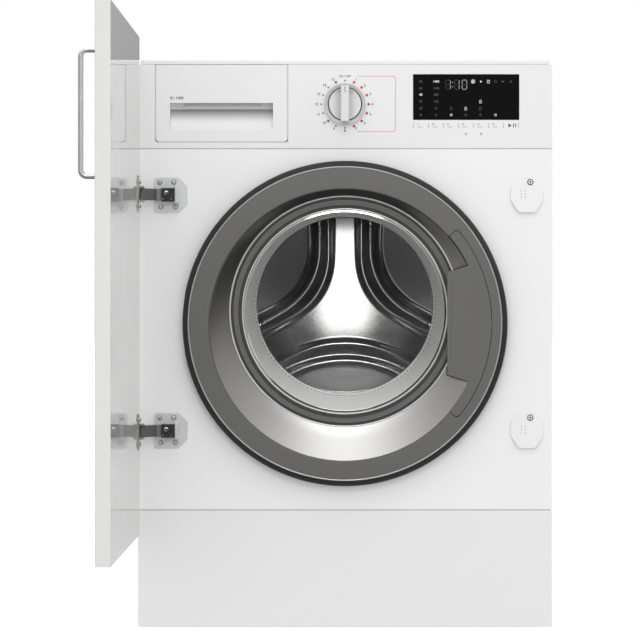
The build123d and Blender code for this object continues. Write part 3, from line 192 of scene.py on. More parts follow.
def new_group(name, inputs, outputs):
    """An empty shader node group with named sockets: (name, type, value) in and names of masks out."""
    group = bpy.data.node_groups.new(name, "ShaderNodeTree")
    for label, kind, value in inputs:
        socket = group.interface.new_socket(name=label, in_out="INPUT", socket_type=kind)
        if value is not None:
            socket.default_value = value
    for label in outputs:
        group.interface.new_socket(name=label, in_out="OUTPUT", socket_type=FLOAT)
    return group, group.nodes.new("NodeGroupInput"), group.nodes.new("NodeGroupOutput")


surface_grain, given, wanted = new_group(
    "surface_grain",
    [("Vector", VECTOR, None), ("Grain Scale", FLOAT, 800.0), ("Patch Scale", FLOAT, 9.0)],
    ["Height", "Tone", "Polish"],
)
for label, scale_name, detail, shift in (
    ("Height", "Grain Scale", 3.0, 0.0),
    ("Tone", "Patch Scale", 4.0, 3.0),
    ("Polish", "Patch Scale", 2.0, 11.0),
):
    shifted = {0: given.outputs["Vector"], 1: (shift, shift, shift)}
    moved = added(surface_grain, "VectorMath", shifted, operation="ADD")
    scaled = {"Vector": moved, "Scale": given.outputs[scale_name], "Detail": detail}
    feed(surface_grain, wanted, {label: added(surface_grain, "TexNoise", scaled)})

settled_dust, given, wanted = new_group(
    "settled_dust", [("Vector", VECTOR, None), ("Amount", FLOAT, 0.1)], ["Mask"]
)
facing = added(settled_dust, "SeparateXYZ", {0: added(settled_dust, "NewGeometry", {}).outputs["Normal"]})
facing_up = added(settled_dust, "MapRange", {"From Min": 0.55, "Value": facing.outputs["Z"]})
speck = added(settled_dust, "TexNoise", {"Vector": given.outputs["Vector"], "Scale": 60.0, "Detail": 6.0})
lying = added(settled_dust, "Math", {0: facing_up, 1: speck}, operation="MULTIPLY")
share = added(settled_dust, "Math", {0: lying, 1: given.outputs["Amount"]}, operation="MULTIPLY")
feed(settled_dust, wanted, {"Mask": share})


def finish(
    name,
    colour,
    roughness,
    metallic=0.0,
    tone=0.05,
    polish=0.08,
    grain=900.0,
    patch=7.0,
    relief=0.05,
    coat=0.0,
    specular=0.5,
    dust=0.0,
):
    """A finish with a fine grain, a slow change of tone and polish over the surface, and some dust."""
    made = bpy.data.materials.new(name)
    made.use_nodes = True
    tree = made.node_tree
    place = added(tree, "TexCoord", {}).outputs["Object"]
    scales = {"Vector": place, "Grain Scale": grain, "Patch Scale": patch}
    grained = added(tree, "Group", scales, node_tree=surface_grain)
    dusted = added(tree, "Group", {"Vector": place, "Amount": dust}, node_tree=settled_dust)
    deep = (*[c * (1.0 - tone) for c in colour], 1.0)
    pale = (*[min(1.0, c * (1.0 + tone)) for c in colour], 1.0)
    tones = added(tree, "Mix", {"Factor": grained.outputs["Tone"]}, data_type="RGBA")
    feed(tree, tones, {"A": deep, "B": pale})
    over = added(tree, "Mix", {"Factor": dusted}, data_type="RGBA")
    feed(tree, over, {"A": tones.outputs["Result"], "B": dust_colour})
    worn = added(tree, "MapRange", {"From Min": 0.3, "From Max": 0.7, "Value": grained.outputs["Polish"]})
    feed(tree, worn, {"To Min": max(0.02, roughness - polish), "To Max": min(1.0, roughness + polish)})
    bump = added(tree, "Bump", {"Strength": relief, "Distance": grain_depth, "Height": grained})
    shader = feed(tree, tree.nodes["Principled BSDF"], {"Metallic": metallic, "Specular IOR Level": specular})
    feed(tree, shader, {"Coat Weight": coat, "Coat Roughness": 0.06})
    feed(tree, shader, {"Base Color": over.outputs["Result"], "Roughness": worn, "Normal": bump})
    return made


def at(x, y, z, turn=0.0, axis="X"):
    """A place in millimetres, with a turn in degrees about one axis."""
    return Matrix.Translation((x * MM, y * MM, z * MM)) @ Matrix.Rotation(math.radians(turn), 4, axis)


def front_of(x, y, z, spin=0.0):
    """A place whose first axis is across the machine, second up and third towards the viewer."""
    return at(x, y, z, 90.0) @ Matrix.Rotation(math.radians(spin), 4, "Z")


def back_of(x, y, z):
    """A place whose third axis points out of the machine's back."""
    return at(x, y, z, -90.0)


def coated(bm, material):
    """Gives every face of a shape the same one of its piece's finishes."""
    for face in bm.faces:
        face.material_index = material
    return bm


def rounded(bm, edges, radius, segments=2, clamp=True):
    """Rounds edges of a shape to a radius in millimetres."""
    bmesh.ops.bevel(
        bm,
        geom=edges,
        offset=radius * MM,
        segments=segments,
        profile=0.5,
        affect="EDGES",
        material=-1,
        clamp_overlap=clamp,
    )


def turned(profile, place, steps=48, material=0):
    """A turned shape from (radius, height) points in millimetres round the third axis."""
    bm = bmesh.new()
    points = [bm.verts.new((radius * MM, 0.0, high * MM)) for radius, high in profile]
    chain = [bm.edges.new(pair) for pair in zip(points, points[1:])]
    whole_turn = {"cent": (0, 0, 0), "axis": (0, 0, 1), "angle": math.tau, "use_merge": True}
    bmesh.ops.spin(bm, geom=points + chain, steps=steps, **whole_turn)
    bmesh.ops.remove_doubles(bm, verts=bm.verts, dist=1e-6)
    bmesh.ops.recalc_face_normals(bm, faces=bm.faces)
    bmesh.ops.transform(bm, matrix=place, verts=bm.verts)
    return coated(bm, material)


def block(size, place, rounding=0.0, segments=2, material=0):
    """A square block of that size in millimetres about a place, with its edges rounded."""
    bm = bmesh.new()
    bmesh.ops.create_cube(bm, size=1.0)
    bmesh.ops.scale(bm, vec=[side * MM for side in size], verts=bm.verts)
    if rounding:
        rounded(bm, bm.edges[:], rounding, segments, clamp=False)
    bmesh.ops.transform(bm, matrix=place, verts=bm.verts)
    return coated(bm, material)


def merged(shapes):
    """Several shapes in one mesh. The shapes are used up."""
    whole_shape = bmesh.new()
    for shape in shapes:
        carrier = bpy.data.meshes.new("carrier")
        shape.to_mesh(carrier)
        shape.free()
        whole_shape.from_mesh(carrier)
        bpy.data.meshes.remove(carrier)
    return whole_shape


def piece(name, bm, body, finishes, stands_for=(), smooth=32.0, level_faces=True):
    """A finished piece of the machine, riding on a body and standing for CAD nodes."""
    mesh = bpy.data.meshes.new(name)
    bm.to_mesh(mesh)
    bm.free()
    for coat_of in finishes:
        mesh.materials.append(coat_of)
    mesh.shade_smooth()
    mesh.set_sharp_from_angle(angle=math.radians(smooth))
    made = bpy.data.objects.new(name, mesh)
    scene.collection.objects.link(made)
    if level_faces:
        level = made.modifiers.new("level_faces", "WEIGHTED_NORMAL")
        level.keep_sharp = True
    if body:
        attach(made, body)
    if stands_for:
        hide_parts(*stands_for)
    return made


def dressed(node, bm, body, finishes, slot=None, smooth=32.0):
    """The finished piece that stands for one CAD node. Its slot argument is not used."""
    slot = slot or finishes[0].name.partition(".")[0]
    return piece(node + "_dressed", bm, body, finishes, [node], smooth)


black_plastic = finish("black_plastic", (0.022, 0.022, 0.024), 0.55, grain=1500.0, relief=0.25, dust=0.08)
zinc_steel = finish(
    "zinc_steel", (0.66, 0.67, 0.68), 0.42, metallic=0.85, tone=0.07, polish=0.04, patch=36.0, dust=0.08
)

feet = []
for x, y in foot_places:
    feet.append(turned(pad_profile, at(x, y, 0)))
    for rib in range(foot_ribs):
        angle = math.tau * rib / foot_ribs
        rib_x, rib_y = x + foot_rib_reach * math.cos(angle), y + foot_rib_reach * math.sin(angle)
        feet.append(block((1.2, 1.6, 3.6), at(rib_x, rib_y, 3.0, math.degrees(angle), "Z"), 0.3, 1))
    feet.append(turned(nut_profile, at(x, y, 0), 6, 1))
    feet.append(turned(stud_profile, at(x, y, 0), 24, 1))
dressed("levelling_feet", merged(feet), "cabinet", [black_plastic, zinc_steel])

# Base frame: the moulded tray that the cabinet is built up on, with a block over each foot and the
# dampers' lower seats. It is filled black plastic, and its edges are rounded as a mould leaves them.


def copy_of(node):
    """A copy of a CAD solid with its flat faces joined."""
    bm = bmesh.new()
    bm.from_mesh(nodes[node].data)
    bmesh.ops.remove_doubles(bm, verts=bm.verts, dist=2e-6)
    bmesh.ops.dissolve_limit(bm, angle_limit=math.radians(0.5), verts=bm.verts, edges=bm.edges)
    return bm


def softened(node, rounding, segments=2, sharp=28.0, corners=None):
    """A copy of a CAD solid with its sharp edges rounded, after its corners where a way is given."""
    bm = copy_of(node)
    if corners:
        corners(bm)
    crisp = [e for e in bm.edges if e.is_manifold and e.calc_face_angle(0.0) > math.radians(sharp)]
    if rounding:
        rounded(bm, crisp, rounding, segments)
    return bm


dressed("base_frame", softened("base_frame", 0.8), "cabinet", [black_plastic])

# Cabinet shell: sides and back folded from one sheet of steel, with flanges turned in at the front.
# It is enamelled white, a little duller than the front, and screwed down to the base at its foot.
white_enamel = finish(
    "white_enamel",
    (0.8, 0.8, 0.8),
    0.3,
    tone=0.008,
    polish=0.02,
    grain=420.0,
    relief=0.02,
    coat=0.25,
    dust=0.08,
)
dressed("cabinet_shell", softened("cabinet_shell", 0.3, 1), "cabinet", [white_enamel])

# Top cover: a shallow tray of white enamelled sheet that closes the shell. It is slid on from the
# front and held by screws at the back.
dressed("top_cover", softened("top_cover", 0.8), "cabinet", [white_enamel])

# Rear service cover: a pressed zinc-plated sheet over the opening behind the pulley. Eight
# pan-headed screws hold it, so that the belt can be reached.
cover_back = 263.3
cover_screws = [(x, z) for x in (-192.0, 0.0, 192.0) for z in (183.0, 445.0, 707.0) if (x, z) != (0.0, 445.0)]
# Painted shade: a near-black finish for the shade in screw slots, wells, rims round screws and bores.
painted_recess_shade = finish("painted_recess_shade", (0.02, 0.02, 0.02), 0.7, relief=0.1, dust=0.08)


def screw(place, radius=4.0, slots=2, spin=0.0, steel=0, recess=1):
    """A pan-headed screw on its own third axis, with one finish for steel and one for its slots' painted
    shade.
    """
    rise = 0.5 * radius
    head = [(0, 0.0), (radius, 0.0), (radius, 0.3 * rise), (0.86 * radius, 0.75 * rise), (0.5 * radius, rise)]
    shapes = [turned(head + [(0, rise)], place, 20, steel)]
    for turn in range(slots):
        lie = place @ Matrix.Rotation(math.radians(spin + 90.0 * turn), 4, "Z") @ at(0, 0, rise)
        shapes.append(block((1.25 * radius, 0.26 * radius, 0.12), lie, material=recess))
    return merged(shapes)


shapes = [softened("rear_service_cover", 0.4)]
for x, z in cover_screws:
    shapes.append(screw(back_of(x, cover_back, z), 4.2))
dressed("rear_service_cover", merged(shapes), "cabinet", [zinc_steel, painted_recess_shade])

# Front panel: white enamelled sheet steel with its edges returned, cut out for the porthole and
# screwed to the shell's flanges.
front_enamel = finish(
    "front_enamel", (0.84, 0.84, 0.84), 0.42, tone=0.006, polish=0.05, grain=500.0, relief=0.03
)
dressed("front_panel", softened("front_panel", 0.7, 3), "cabinet", [front_enamel], "white_enamel")

# Kick panel: a white moulding that reaches the floor and hides the feet. It is clipped to the base
# frame and pulls off towards the front.
moulded_white = {"tone": 0.006, "polish": 0.05, "grain": 1400.0, "relief": 0.06}
white_moulding = finish("white_moulding", (0.79, 0.79, 0.79), 0.45, **moulded_white)
dressed("kick_panel", softened("kick_panel", 1.0, 3), "cabinet", [white_moulding])

# Control fascia: one white moulding across the top of the front, with openings for the drawer, the
# display and the knob. It is clipped over the front rail, and the drawer's lower corners are rounded.
drawer_left = -272.8
drawer_right = -83.2
drawer_foot = 702.0
drawer_corner_r = 4.5
corner_near = 1.6


def round_drawer_corners(bm):
    """Rounds the two lower corners of the drawer's outline, in the drawer's front or in the fascia."""
    for x in (drawer_left, drawer_right):
        corner = [
            e
            for e in bm.edges
            if abs(e.verts[0].co.y - e.verts[1].co.y) > MM
            and all(max(abs(v.co.x / MM - x), abs(v.co.z / MM - drawer_foot)) < corner_near for v in e.verts)
        ]
        rounded(bm, corner, drawer_corner_r, 5)


fascia = softened("control_fascia", 0.6, 3, corners=round_drawer_corners)
dressed("control_fascia", fascia, "cabinet", [white_moulding])

# Display window: a black glazed plate, printed from behind and set flush in the fascia. It is glued
# to the fascia's back, over the display's module.
glass_black = (0.0035, 0.0035, 0.004)
black_glass = finish(
    "black_glass", glass_black, 0.09, tone=0.1, polish=0.03, grain=300.0, relief=0.01, specular=0.3
)
dressed("display_window", softened("display_window", 0.3), "cabinet", [black_glass])

# Detergent drawer: a white front with a scooped grip and a lip over it, clipped to a tray of paler
# plastic. The tray runs in a housing that is screwed behind the fascia.
scoop_left = -252.5
scoop_right = -103.8
scoop_low = 717.5
scoop_high = 757.7
scoop_edge = -269.4
lip_middle = -177.4
lip_z = 756.2
hook_places = (-232.0, -122.8)
# Painted shade in the scoop: its white darkens towards the top, and the lip, hooks and ceiling are grey.
scoop_white_painted_shade = finish("scoop_white_painted_shade", (0.92, 0.92, 0.92), 0.5, **moulded_white)
lip_painted_shade = finish("lip_painted_shade", (0.3, 0.3, 0.3), 0.5, grain=1400.0, relief=0.06)
ceiling_painted_shade = finish("ceiling_painted_shade", (0.46, 0.46, 0.46), 0.5, grain=1400.0, relief=0.06)
# Painted light and shade: a mask that runs from one height to another, for grading a finish's colour.
painted_light_and_shade_height, given, wanted = new_group(
    "painted_light_and_shade_height",
    [("Vector", VECTOR, None), ("Low", FLOAT, 0.0), ("High", FLOAT, 1.0)],
    ["Even", "Eased"],
)
high_up = added(painted_light_and_shade_height, "SeparateXYZ", {0: given.outputs["Vector"]}).outputs["Z"]
for label, step in (("Even", "LINEAR"), ("Eased", "SMOOTHSTEP")):
    reached = added(painted_light_and_shade_height, "MapRange", {"Value": high_up}, interpolation_type=step)
    feed(painted_light_and_shade_height, reached, {"From Min": given.outputs["Low"], "From Max": given.outputs["High"]})
    feed(painted_light_and_shade_height, wanted, {label: reached})


def shaded_by_height(made, low, high, colour, run="Even"):
    """Paints light and shade into a finish: grades it towards a colour, from one height in metres to another.
    """
    tree = made.node_tree
    shader = tree.nodes["Principled BSDF"]
    place = tree.nodes["Texture Coordinate"].outputs["Object"]
    shade = added(tree, "Group", {"Vector": place, "Low": low, "High": high}, node_tree=painted_light_and_shade_height)
    graded = added(tree, "Mix", {"Factor": shade.outputs[run], "B": (*colour, 1.0)}, data_type="RGBA")
    feed(tree, graded, {"A": shader.inputs["Base Color"].links[0].from_socket})
    feed(tree, shader, {"Base Color": graded.outputs["Result"]})


# Painted shade: the scoop's white grades to near black towards its top, under the lip.
shaded_by_height(scoop_white_painted_shade, 0.729, 0.757, (0.06, 0.06, 0.06), "Eased")
drawer = softened("drawer_front", 0.5, corners=round_drawer_corners)
# Faces in the scoop take its painted shade, and the faces of its ceiling a grey painted shade.
for face in drawer.faces:
    middle = face.calc_center_median() / MM
    if not (scoop_left < middle.x < scoop_right and middle.y > scoop_edge):
        continue
    if scoop_low < middle.z < scoop_high:
        face.material_index = 1
    elif scoop_high <= middle.z < scoop_high + 1.0 and face.normal.z < -0.5:
        face.material_index = 3
# The lip and its hooks are grey, painted shade in the top of the scoop.
shapes = [drawer, block((109.6, 3.0, 8.0), front_of(lip_middle, -265.0, lip_z), 0.5, 2, 2)]
for x in hook_places:
    shapes.append(block((1.6, 5.0, 8.0), front_of(x, -265.2, lip_z - 1.0), 0.4, 2, 2))
drawer_finishes = [white_moulding, scoop_white_painted_shade, lip_painted_shade, ceiling_painted_shade]
dressed("drawer_front", merged(shapes), "detergent_drawer", drawer_finishes)
white_plastic = finish("white_plastic", (0.72, 0.73, 0.735), 0.5, relief=0.12, dust=0.08)
dressed("detergent_tray", softened("detergent_tray", 0.5), "detergent_drawer", [white_plastic])
dressed("drawer_housing", softened("drawer_housing", 0.6), "cabinet", [white_plastic])

# Porthole's outer ring: a dark grey moulding. Its rim is nearly black, and a rounded bead with a pale
# finish paints the highlight where the rim meets the flat face. The mouth in it sits two millimetres low.
ring_steps = 192
ring_z = 439.5
mouth_z = 437.5
rim_reach = 226.2
line_reach = 223.9
grip_outer = 210.5
grip_inner = 193.0
grip_span = math.radians(40.0)
grip_corner_r = 6.0
grip_near = 0.4 * MM
recess_gap = 0.8
recess_floor = -278.4
recess_deep = 21.6
ring_rim = finish("ring_rim", (0.03, 0.03, 0.03), 0.4, specular=0.2)
grey_moulding = finish("grey_moulding", (0.128, 0.127, 0.123), 0.36, tone=0.03, polish=0.03, grain=1200.0)
painted_highlight_line = finish("painted_highlight_line", (0.6, 0.595, 0.585), 0.4, metallic=0.55, tone=0.03)


def verts_of(drawn):
    """The vertices among what an operator has drawn."""
    return [g for g in drawn if isinstance(g, bmesh.types.BMVert)]


def edges_of(drawn):
    """The edges among what an operator has drawn."""
    return [g for g in drawn if isinstance(g, bmesh.types.BMEdge)]


def on_axis(centre, rounds):
    """The rings of a shape whose (radius, depth) rounds share one height of their centre."""
    return [(centre, radius, depth) for radius, depth in rounds]


def nested(rings, closed=True, steps=ring_steps):
    """A shape drawn through circles across the depth, each (height of its centre, radius, depth)."""
    bm = bmesh.new()
    centre, radius, depth = rings[0]
    place = front_of(0, depth, centre)
    made = bmesh.ops.create_circle(bm, cap_ends=not closed, segments=steps, radius=radius * MM, matrix=place)
    edges = list({e for v in made["verts"] for e in v.link_edges})
    for next_centre, next_radius, next_depth in rings[1:] + (rings[:1] if closed else []):
        drawn = bmesh.ops.extrude_edge_only(bm, edges=edges)["geom"]
        verts = verts_of(drawn)
        edges = edges_of(drawn)
        wider = next_radius / radius
        middle = Matrix.Translation((0.0, -depth * MM, -centre * MM))
        bmesh.ops.scale(bm, vec=(wider, 1.0, wider), space=middle, verts=verts)
        move = (0.0, (next_depth - depth) * MM, (next_centre - centre) * MM)
        bmesh.ops.translate(bm, vec=move, verts=verts)
        centre, radius, depth = next_centre, next_radius, next_depth
    if not closed:
        bmesh.ops.edgeloop_fill(bm, edges=edges)
    bmesh.ops.remove_doubles(bm, verts=bm.verts, dist=2e-7)
    bmesh.ops.recalc_face_normals(bm, faces=bm.faces)
    return bm


def reach_of(point, centre):
    """How far a point is from an axis at that height, seen from the front, in millimetres."""
    return math.hypot(point.x, point.z - centre * MM) / MM


def cut(piece_made, tool):
    """Takes the tool's volume out of a piece, and removes the tool."""
    knife_mesh = bpy.data.meshes.new("knife")
    tool.to_mesh(knife_mesh)
    tool.free()
    knife = bpy.data.objects.new("knife", knife_mesh)
    scene.collection.objects.link(knife)
    step = piece_made.modifiers.new("cut", "BOOLEAN")
    step.operation = "DIFFERENCE"
    step.solver = "EXACT"
    step.object = knife
    graph = bpy.context.evaluated_depsgraph_get()
    result = bpy.data.meshes.new_from_object(piece_made.evaluated_get(graph))
    piece_made.modifiers.remove(step)
    old = piece_made.data
    piece_made.data = result
    result.name = piece_made.name
    bpy.data.meshes.remove(old)
    bpy.data.objects.remove(knife)
    bpy.data.meshes.remove(knife_mesh)


def round_grip_corners(bm, outer, span, up, low=0.0):
    """Rounds the two outer corners of the grip's outline, where its arc ends, with up as second axis."""
    for side in (-1, 1):
        x = outer * MM * math.cos(side * span)
        z = low * MM + outer * MM * math.sin(side * span)
        near = {v for v in bm.verts if abs(v.co.x - x) < grip_near and abs(v.co[up] - z) < grip_near}
        rounded(bm, [e for e in bm.edges if near.issuperset(e.verts)], grip_corner_r, 6)


def grip_recess():
    """The grip's place in the ring as a tool: a crescent of the ring, a gap wider than the grip."""
    bm = bmesh.new()
    outer = grip_outer + recess_gap
    span = grip_span + recess_gap / outer
    foot = (math.cos(-span) * MM, math.sin(-span) * MM)
    start, end = [bm.verts.new((reach * foot[0], reach * foot[1], 0.0)) for reach in (grip_inner, outer)]
    edge = bm.edges.new((start, end))
    bmesh.ops.spin(bm, geom=[start, end, edge], cent=(0, 0, 0), axis=(0, 0, 1), angle=2 * span, steps=48)
    bmesh.ops.recalc_face_normals(bm, faces=bm.faces)
    risen = bmesh.ops.extrude_face_region(bm, geom=bm.faces[:])["geom"]
    bmesh.ops.translate(bm, vec=(0, 0, recess_deep * MM), verts=verts_of(risen))
    bmesh.ops.recalc_face_normals(bm, faces=bm.faces)
    round_grip_corners(bm, outer, span, 1)
    bmesh.ops.transform(bm, matrix=front_of(0, recess_floor, ring_z), verts=bm.verts)
    return bm


rim_rounds = [(232.6, -276.0), (233.8, -277.0), (234.0, -279.0), (234.0, -288.6), (233.6, -290.4)]
rim_rounds += [(232.4, -292.2), (230.2, -294.4), (228.0, -296.0), (226.6, -296.6)]
line_rounds = [(225.9, -296.9), (225.6, -297.6), (225.0, -298.0), (224.3, -297.8), (224.0, -297.1)]
face_rounds = [(223.2, -297.0), (211.0, -297.6)]
mouth_rounds = [(197.2, -297.9), (196.0, -297.6), (195.5, -296.8), (195.5, -276.0)]
ring = nested(on_axis(ring_z, rim_rounds + line_rounds + face_rounds) + on_axis(mouth_z, mouth_rounds))
# Faces past the rim take the near-black rim finish, and the bead inside it the painted highlight.
for face in ring.faces:
    reach = reach_of(face.calc_center_median(), ring_z)
    if reach > rim_reach:
        face.material_index = 1
    elif reach > line_reach:
        face.material_index = 2
ring_piece = dressed("porthole_ring", ring, "porthole_door", [grey_moulding, ring_rim, painted_highlight_line])
cut(ring_piece, grip_recess())
hinge_room = block((70.0, 16.0, 80.0), at(-237.0, -282.5, ring_z))
hook_room = block((22.0, 18.0, 16.0), at(214.0, -280.0, ring_z))
cut(ring_piece, hinge_room)
cut(ring_piece, hook_room)

# Porthole's funnel: a satin chromed cone that falls from the mouth to the glass, with painted shade that
# makes it darker upwards. Grey steps, two polished beads and a polished facet lie round the glass, and
# all snap into the ring's back.
bowl_z = 457.0
drum_z = 466.0
satin_chrome = finish(
    "satin_chrome", (0.47, 0.463, 0.445), 0.3, metallic=1.0, tone=0.02, polish=0.02, grain=700.0, relief=0.0
)
step_grey = finish("step_grey", (0.05, 0.05, 0.05), 0.5, specular=0.3)
bead_chrome = finish("bead_chrome", (0.85, 0.845, 0.83), 0.3, metallic=0.45, tone=0.03, relief=0.0)
mirror_chrome = finish(
    "mirror_chrome", (0.8, 0.8, 0.79), 0.08, metallic=1.0, tone=0.03, polish=0.02, relief=0.0
)
# Painted shade: the satin chrome grades to near black towards the top of the funnel, for the dark it
# reflects.
shaded_by_height(satin_chrome, 0.47, 0.61, (0.11, 0.11, 0.11))
pad_room = [(146.0, -74.6), (146.0, 74.6), (178.0, 84.6), (200.0, 84.6), (200.0, -84.6), (178.0, -84.6)]


def plate(points, thickness, place, rounding=0.0, corner=0.0):
    """A flat plate whose outline runs through (x, y) points, raised along the third axis of a place."""
    bm = bmesh.new()
    bm.faces.new([bm.verts.new((x * MM, y * MM, 0.0)) for x, y in points])
    risen = bmesh.ops.extrude_face_region(bm, geom=bm.faces[:])["geom"]
    bmesh.ops.translate(bm, vec=(0.0, 0.0, thickness * MM), verts=verts_of(risen))
    bmesh.ops.recalc_face_normals(bm, faces=bm.faces)
    half = 0.5 * thickness * MM
    if corner:
        rounded(bm, [e for e in bm.edges if abs(e.verts[0].co.z - e.verts[1].co.z) > half], corner, 5)
    if rounding:
        rim = [e for e in bm.edges if min(v.co.z for v in e.verts) > half and e.is_manifold]
        rounded(bm, [e for e in rim if e.calc_face_angle(0.0) > math.radians(50)], rounding, 3)
    bmesh.ops.transform(bm, matrix=place, verts=bm.verts)
    return bm


funnel = nested(
    on_axis(mouth_z, [(195.1, -297.0), (194.4, -297.0)])
    + [(450.2, 176.6, -286.6), (456.6, 167.4, -282.4)]
    + on_axis(bowl_z, [(166.8, -282.2), (166.8, -279.4)])
    + [(mouth_z, 195.1, -279.4)]
)
funnel_piece = dressed("porthole_funnel", funnel, "porthole_door", [satin_chrome])
cut(funnel_piece, plate(pad_room, 30.0, front_of(0, -271.0, ring_z)))
outer_bead = [(166.7, -281.4), (166.4, -282.9), (165.6, -283.3), (164.8, -282.9), (164.5, -281.4)]
inner_bead = [(148.6, -281.0), (148.2, -282.6), (147.4, -283.0), (146.6, -282.4), (146.3, -281.0)]
facet = [(146.3, -279.6), (143.4, -280.14), (143.0, -279.9), (143.4, -279.5), (146.3, -279.3)]
beads = [nested(on_axis(bowl_z, rounds)) for rounds in (outer_bead, inner_bead, facet)]
coated(beads[2], 1)
piece("porthole_beads", merged(beads), "porthole_door", [bead_chrome, mirror_chrome])
step_rounds = [(164.6, -279.3), (164.6, -281.2), (161.5, -281.2), (160.5, -282.2), (157.5, -282.2)]
step_rounds += [(156.5, -281.0), (153.5, -281.0), (152.5, -281.8), (148.5, -281.8)]
step_rounds += [(147.2, -281.0), (147.2, -279.3)]
pale_step = (153.5, 160.4)
steps_round_glass = nested(on_axis(bowl_z, step_rounds))
for face in steps_round_glass.faces:
    if pale_step[0] < reach_of(face.calc_center_median(), bowl_z) < pale_step[1]:
        face.material_index = 1
piece("porthole_steps", steps_round_glass, "porthole_door", [step_grey, grey_moulding])

# Porthole's rear frame and its glass bowl: the frame is a dark moulding that screws to the ring and
# clamps the bowl. The bowl is pressed glass, clear in front of the drum and frosted round its wall,
# and painted light makes the frosted wall paler towards its bottom.
frame_grey = finish("frame_grey", (0.1, 0.1, 0.1), 0.55, relief=0.15, dust=0.08)
dressed("porthole_frame", softened("porthole_frame", 0.5), "porthole_door", [frame_grey])

glass = bpy.data.materials.new("clear_glass")
glass.use_nodes = True
clear = {"Base Color": (1.0, 1.0, 1.0, 1.0), "Roughness": 0.0, "Transmission Weight": 1.0, "IOR": 1.5}
feed(glass.node_tree, glass.node_tree.nodes["Principled BSDF"], clear)
frosted_glass = finish("frosted_glass", (0.68, 0.68, 0.67), 0.45, tone=0.03, relief=0.02)
web = frosted_glass.node_tree
feed(web, web.nodes["Principled BSDF"], {"Transmission Weight": 0.25})
# Painted light: the frosted wall grades to near white towards its bottom.
shaded_by_height(frosted_glass, 0.40, 0.325, (0.98, 0.98, 0.97))
frosted_from = 130.4
inner_face = [(1.0, -178.3), (30.0, -178.7), (60.0, -180.2), (90.0, -182.6), (112.0, -185.2), (130.0, -187.6)]
outer_wall = [(465.8, 134.2, -189.4), (465.4, 136.0, -193.6), (464.6, 137.4, -200.0), (461.0, 142.6, -236.0)]
outer_wall += [(457.4, 149.8, -276.5), (457.0, 150.3, -279.3)]
inner_wall = [(457.0, 146.3, -279.3), (457.4, 145.9, -276.5), (460.8, 138.6, -236.0), (464.4, 133.4, -201.0)]
inner_wall += [(465.4, 132.0, -195.0), (465.8, 130.6, -192.6)]
outer_face = [(128.4, -191.4), (111.0, -189.0), (90.0, -186.4), (60.0, -184.0), (30.0, -182.6), (1.0, -182.2)]
bowl = nested(
    on_axis(drum_z, inner_face) + outer_wall + inner_wall + on_axis(drum_z, outer_face), closed=False
)
for face in bowl.faces:
    if reach_of(face.calc_center_median(), drum_z) > frosted_from:
        face.material_index = 1
bowl_piece = dressed("glass_bowl", bowl, "porthole_door", [glass, frosted_glass], smooth=60.0)
bowl_piece.visible_shadow = False


def plain_mark(name, colour, roughness=0.5):
    """The even finish of a print, of a small moulded mark, or of a mark of painted light and shade."""
    return finish(name, colour, roughness, relief=0.0)


# Painted reflection: pale ribs on the frosted wall stand for the gasket's folds reflected in it.
rib_painted_reflection = plain_mark("rib_painted_reflection", (0.9, 0.9, 0.89), 0.4)
# Painted shade: near-black dashes round the glass's edge stand for the drum's perforations behind it.
rim_painted_shade = plain_mark("rim_painted_shade", (0.06, 0.06, 0.06))
rib_headings = (197.0, 213.0, 232.0, 308.0, 327.0, 343.0)
rib_ends = ((134.2, -0.206, 0.4647), (144.9, -0.2735, 0.4577))
rim_dots = 132
dot_reach = 132.2
dot_y = -196.6
dot_z = 465.6
marks = []
for heading in rib_headings:
    across = Vector((math.cos(math.radians(heading)), 0.0, math.sin(math.radians(heading))))
    foot, head = [across * reach * MM + Vector((0.0, y, z)) for reach, y, z in rib_ends]
    lie = (head - foot).to_track_quat("Z", "Y").to_matrix().to_4x4()
    marks.append(block((0.9, 0.5, (head - foot).length / MM), Matrix.Translation((foot + head) / 2) @ lie))
for step in range(rim_dots):
    angle = math.tau * step / rim_dots
    x, z = dot_reach * math.cos(angle), dot_z + dot_reach * math.sin(angle)
    marks.append(block((0.9, 3.2, 0.3), front_of(x, dot_y, z, math.degrees(angle)), material=1))
mark_finishes = [rib_painted_reflection, rim_painted_shade]
piece("glass_bowl_painted_light", merged(marks), "porthole_door", mark_finishes, level_faces=False)

# Porthole's grip: a dark moulded lever let into the ring, with a straight inner edge for the fingers
# and a fine groove beside it. It tips on two steel pins in the ring.
groove_x = 152.6


def round_grip_piece(bm):
    """Rounds the outer corners of the grip itself."""
    round_grip_corners(bm, grip_outer, grip_span, 2, ring_z)


grip = softened("porthole_grip", 0.8, 3, corners=round_grip_piece)
grip_piece = dressed("porthole_grip", grip, "porthole_grip", [grey_moulding])
cut(grip_piece, block((0.7, 1.6, 111.0), at(groove_x, -298.0, ring_z)))

# Gasket: a moulded grey rubber sleeve. Its lip is stretched over the front panel's edge, its inner
# lip lies round the glass, and its folds let the tub move behind it.
gasket_steps = 144
grey_rubber = finish("grey_rubber", (0.3, 0.3, 0.305), 0.5, tone=0.04, grain=1500.0, relief=0.1)
lip_rounds = [(177.4, -268.8), (181.0, -269.2), (184.6, -270.1), (186.0, -271.1), (185.0, -271.7)]
lip_rounds += [(180.0, -271.5), (174.0, -270.6)]
throat = [(464.0, 166.0, -268.4), (461.0, 158.5, -266.0), (460.0, 156.2, -264.0), (460.5, 154.8, -260.0)]
throat += [(462.0, 150.6, -240.0), (464.0, 146.6, -216.0), (465.0, 145.6, -211.5), (465.0, 147.0, -209.8)]
fold_rounds = [(151.5, -213.0), (160.0, -228.0), (165.0, -231.0), (168.5, -226.0), (167.8, -212.0)]
sleeve_rounds = [(170.5, -208.6), (173.6, -208.5), (174.8, -211.0), (174.0, -222.0), (174.8, -238.0)]
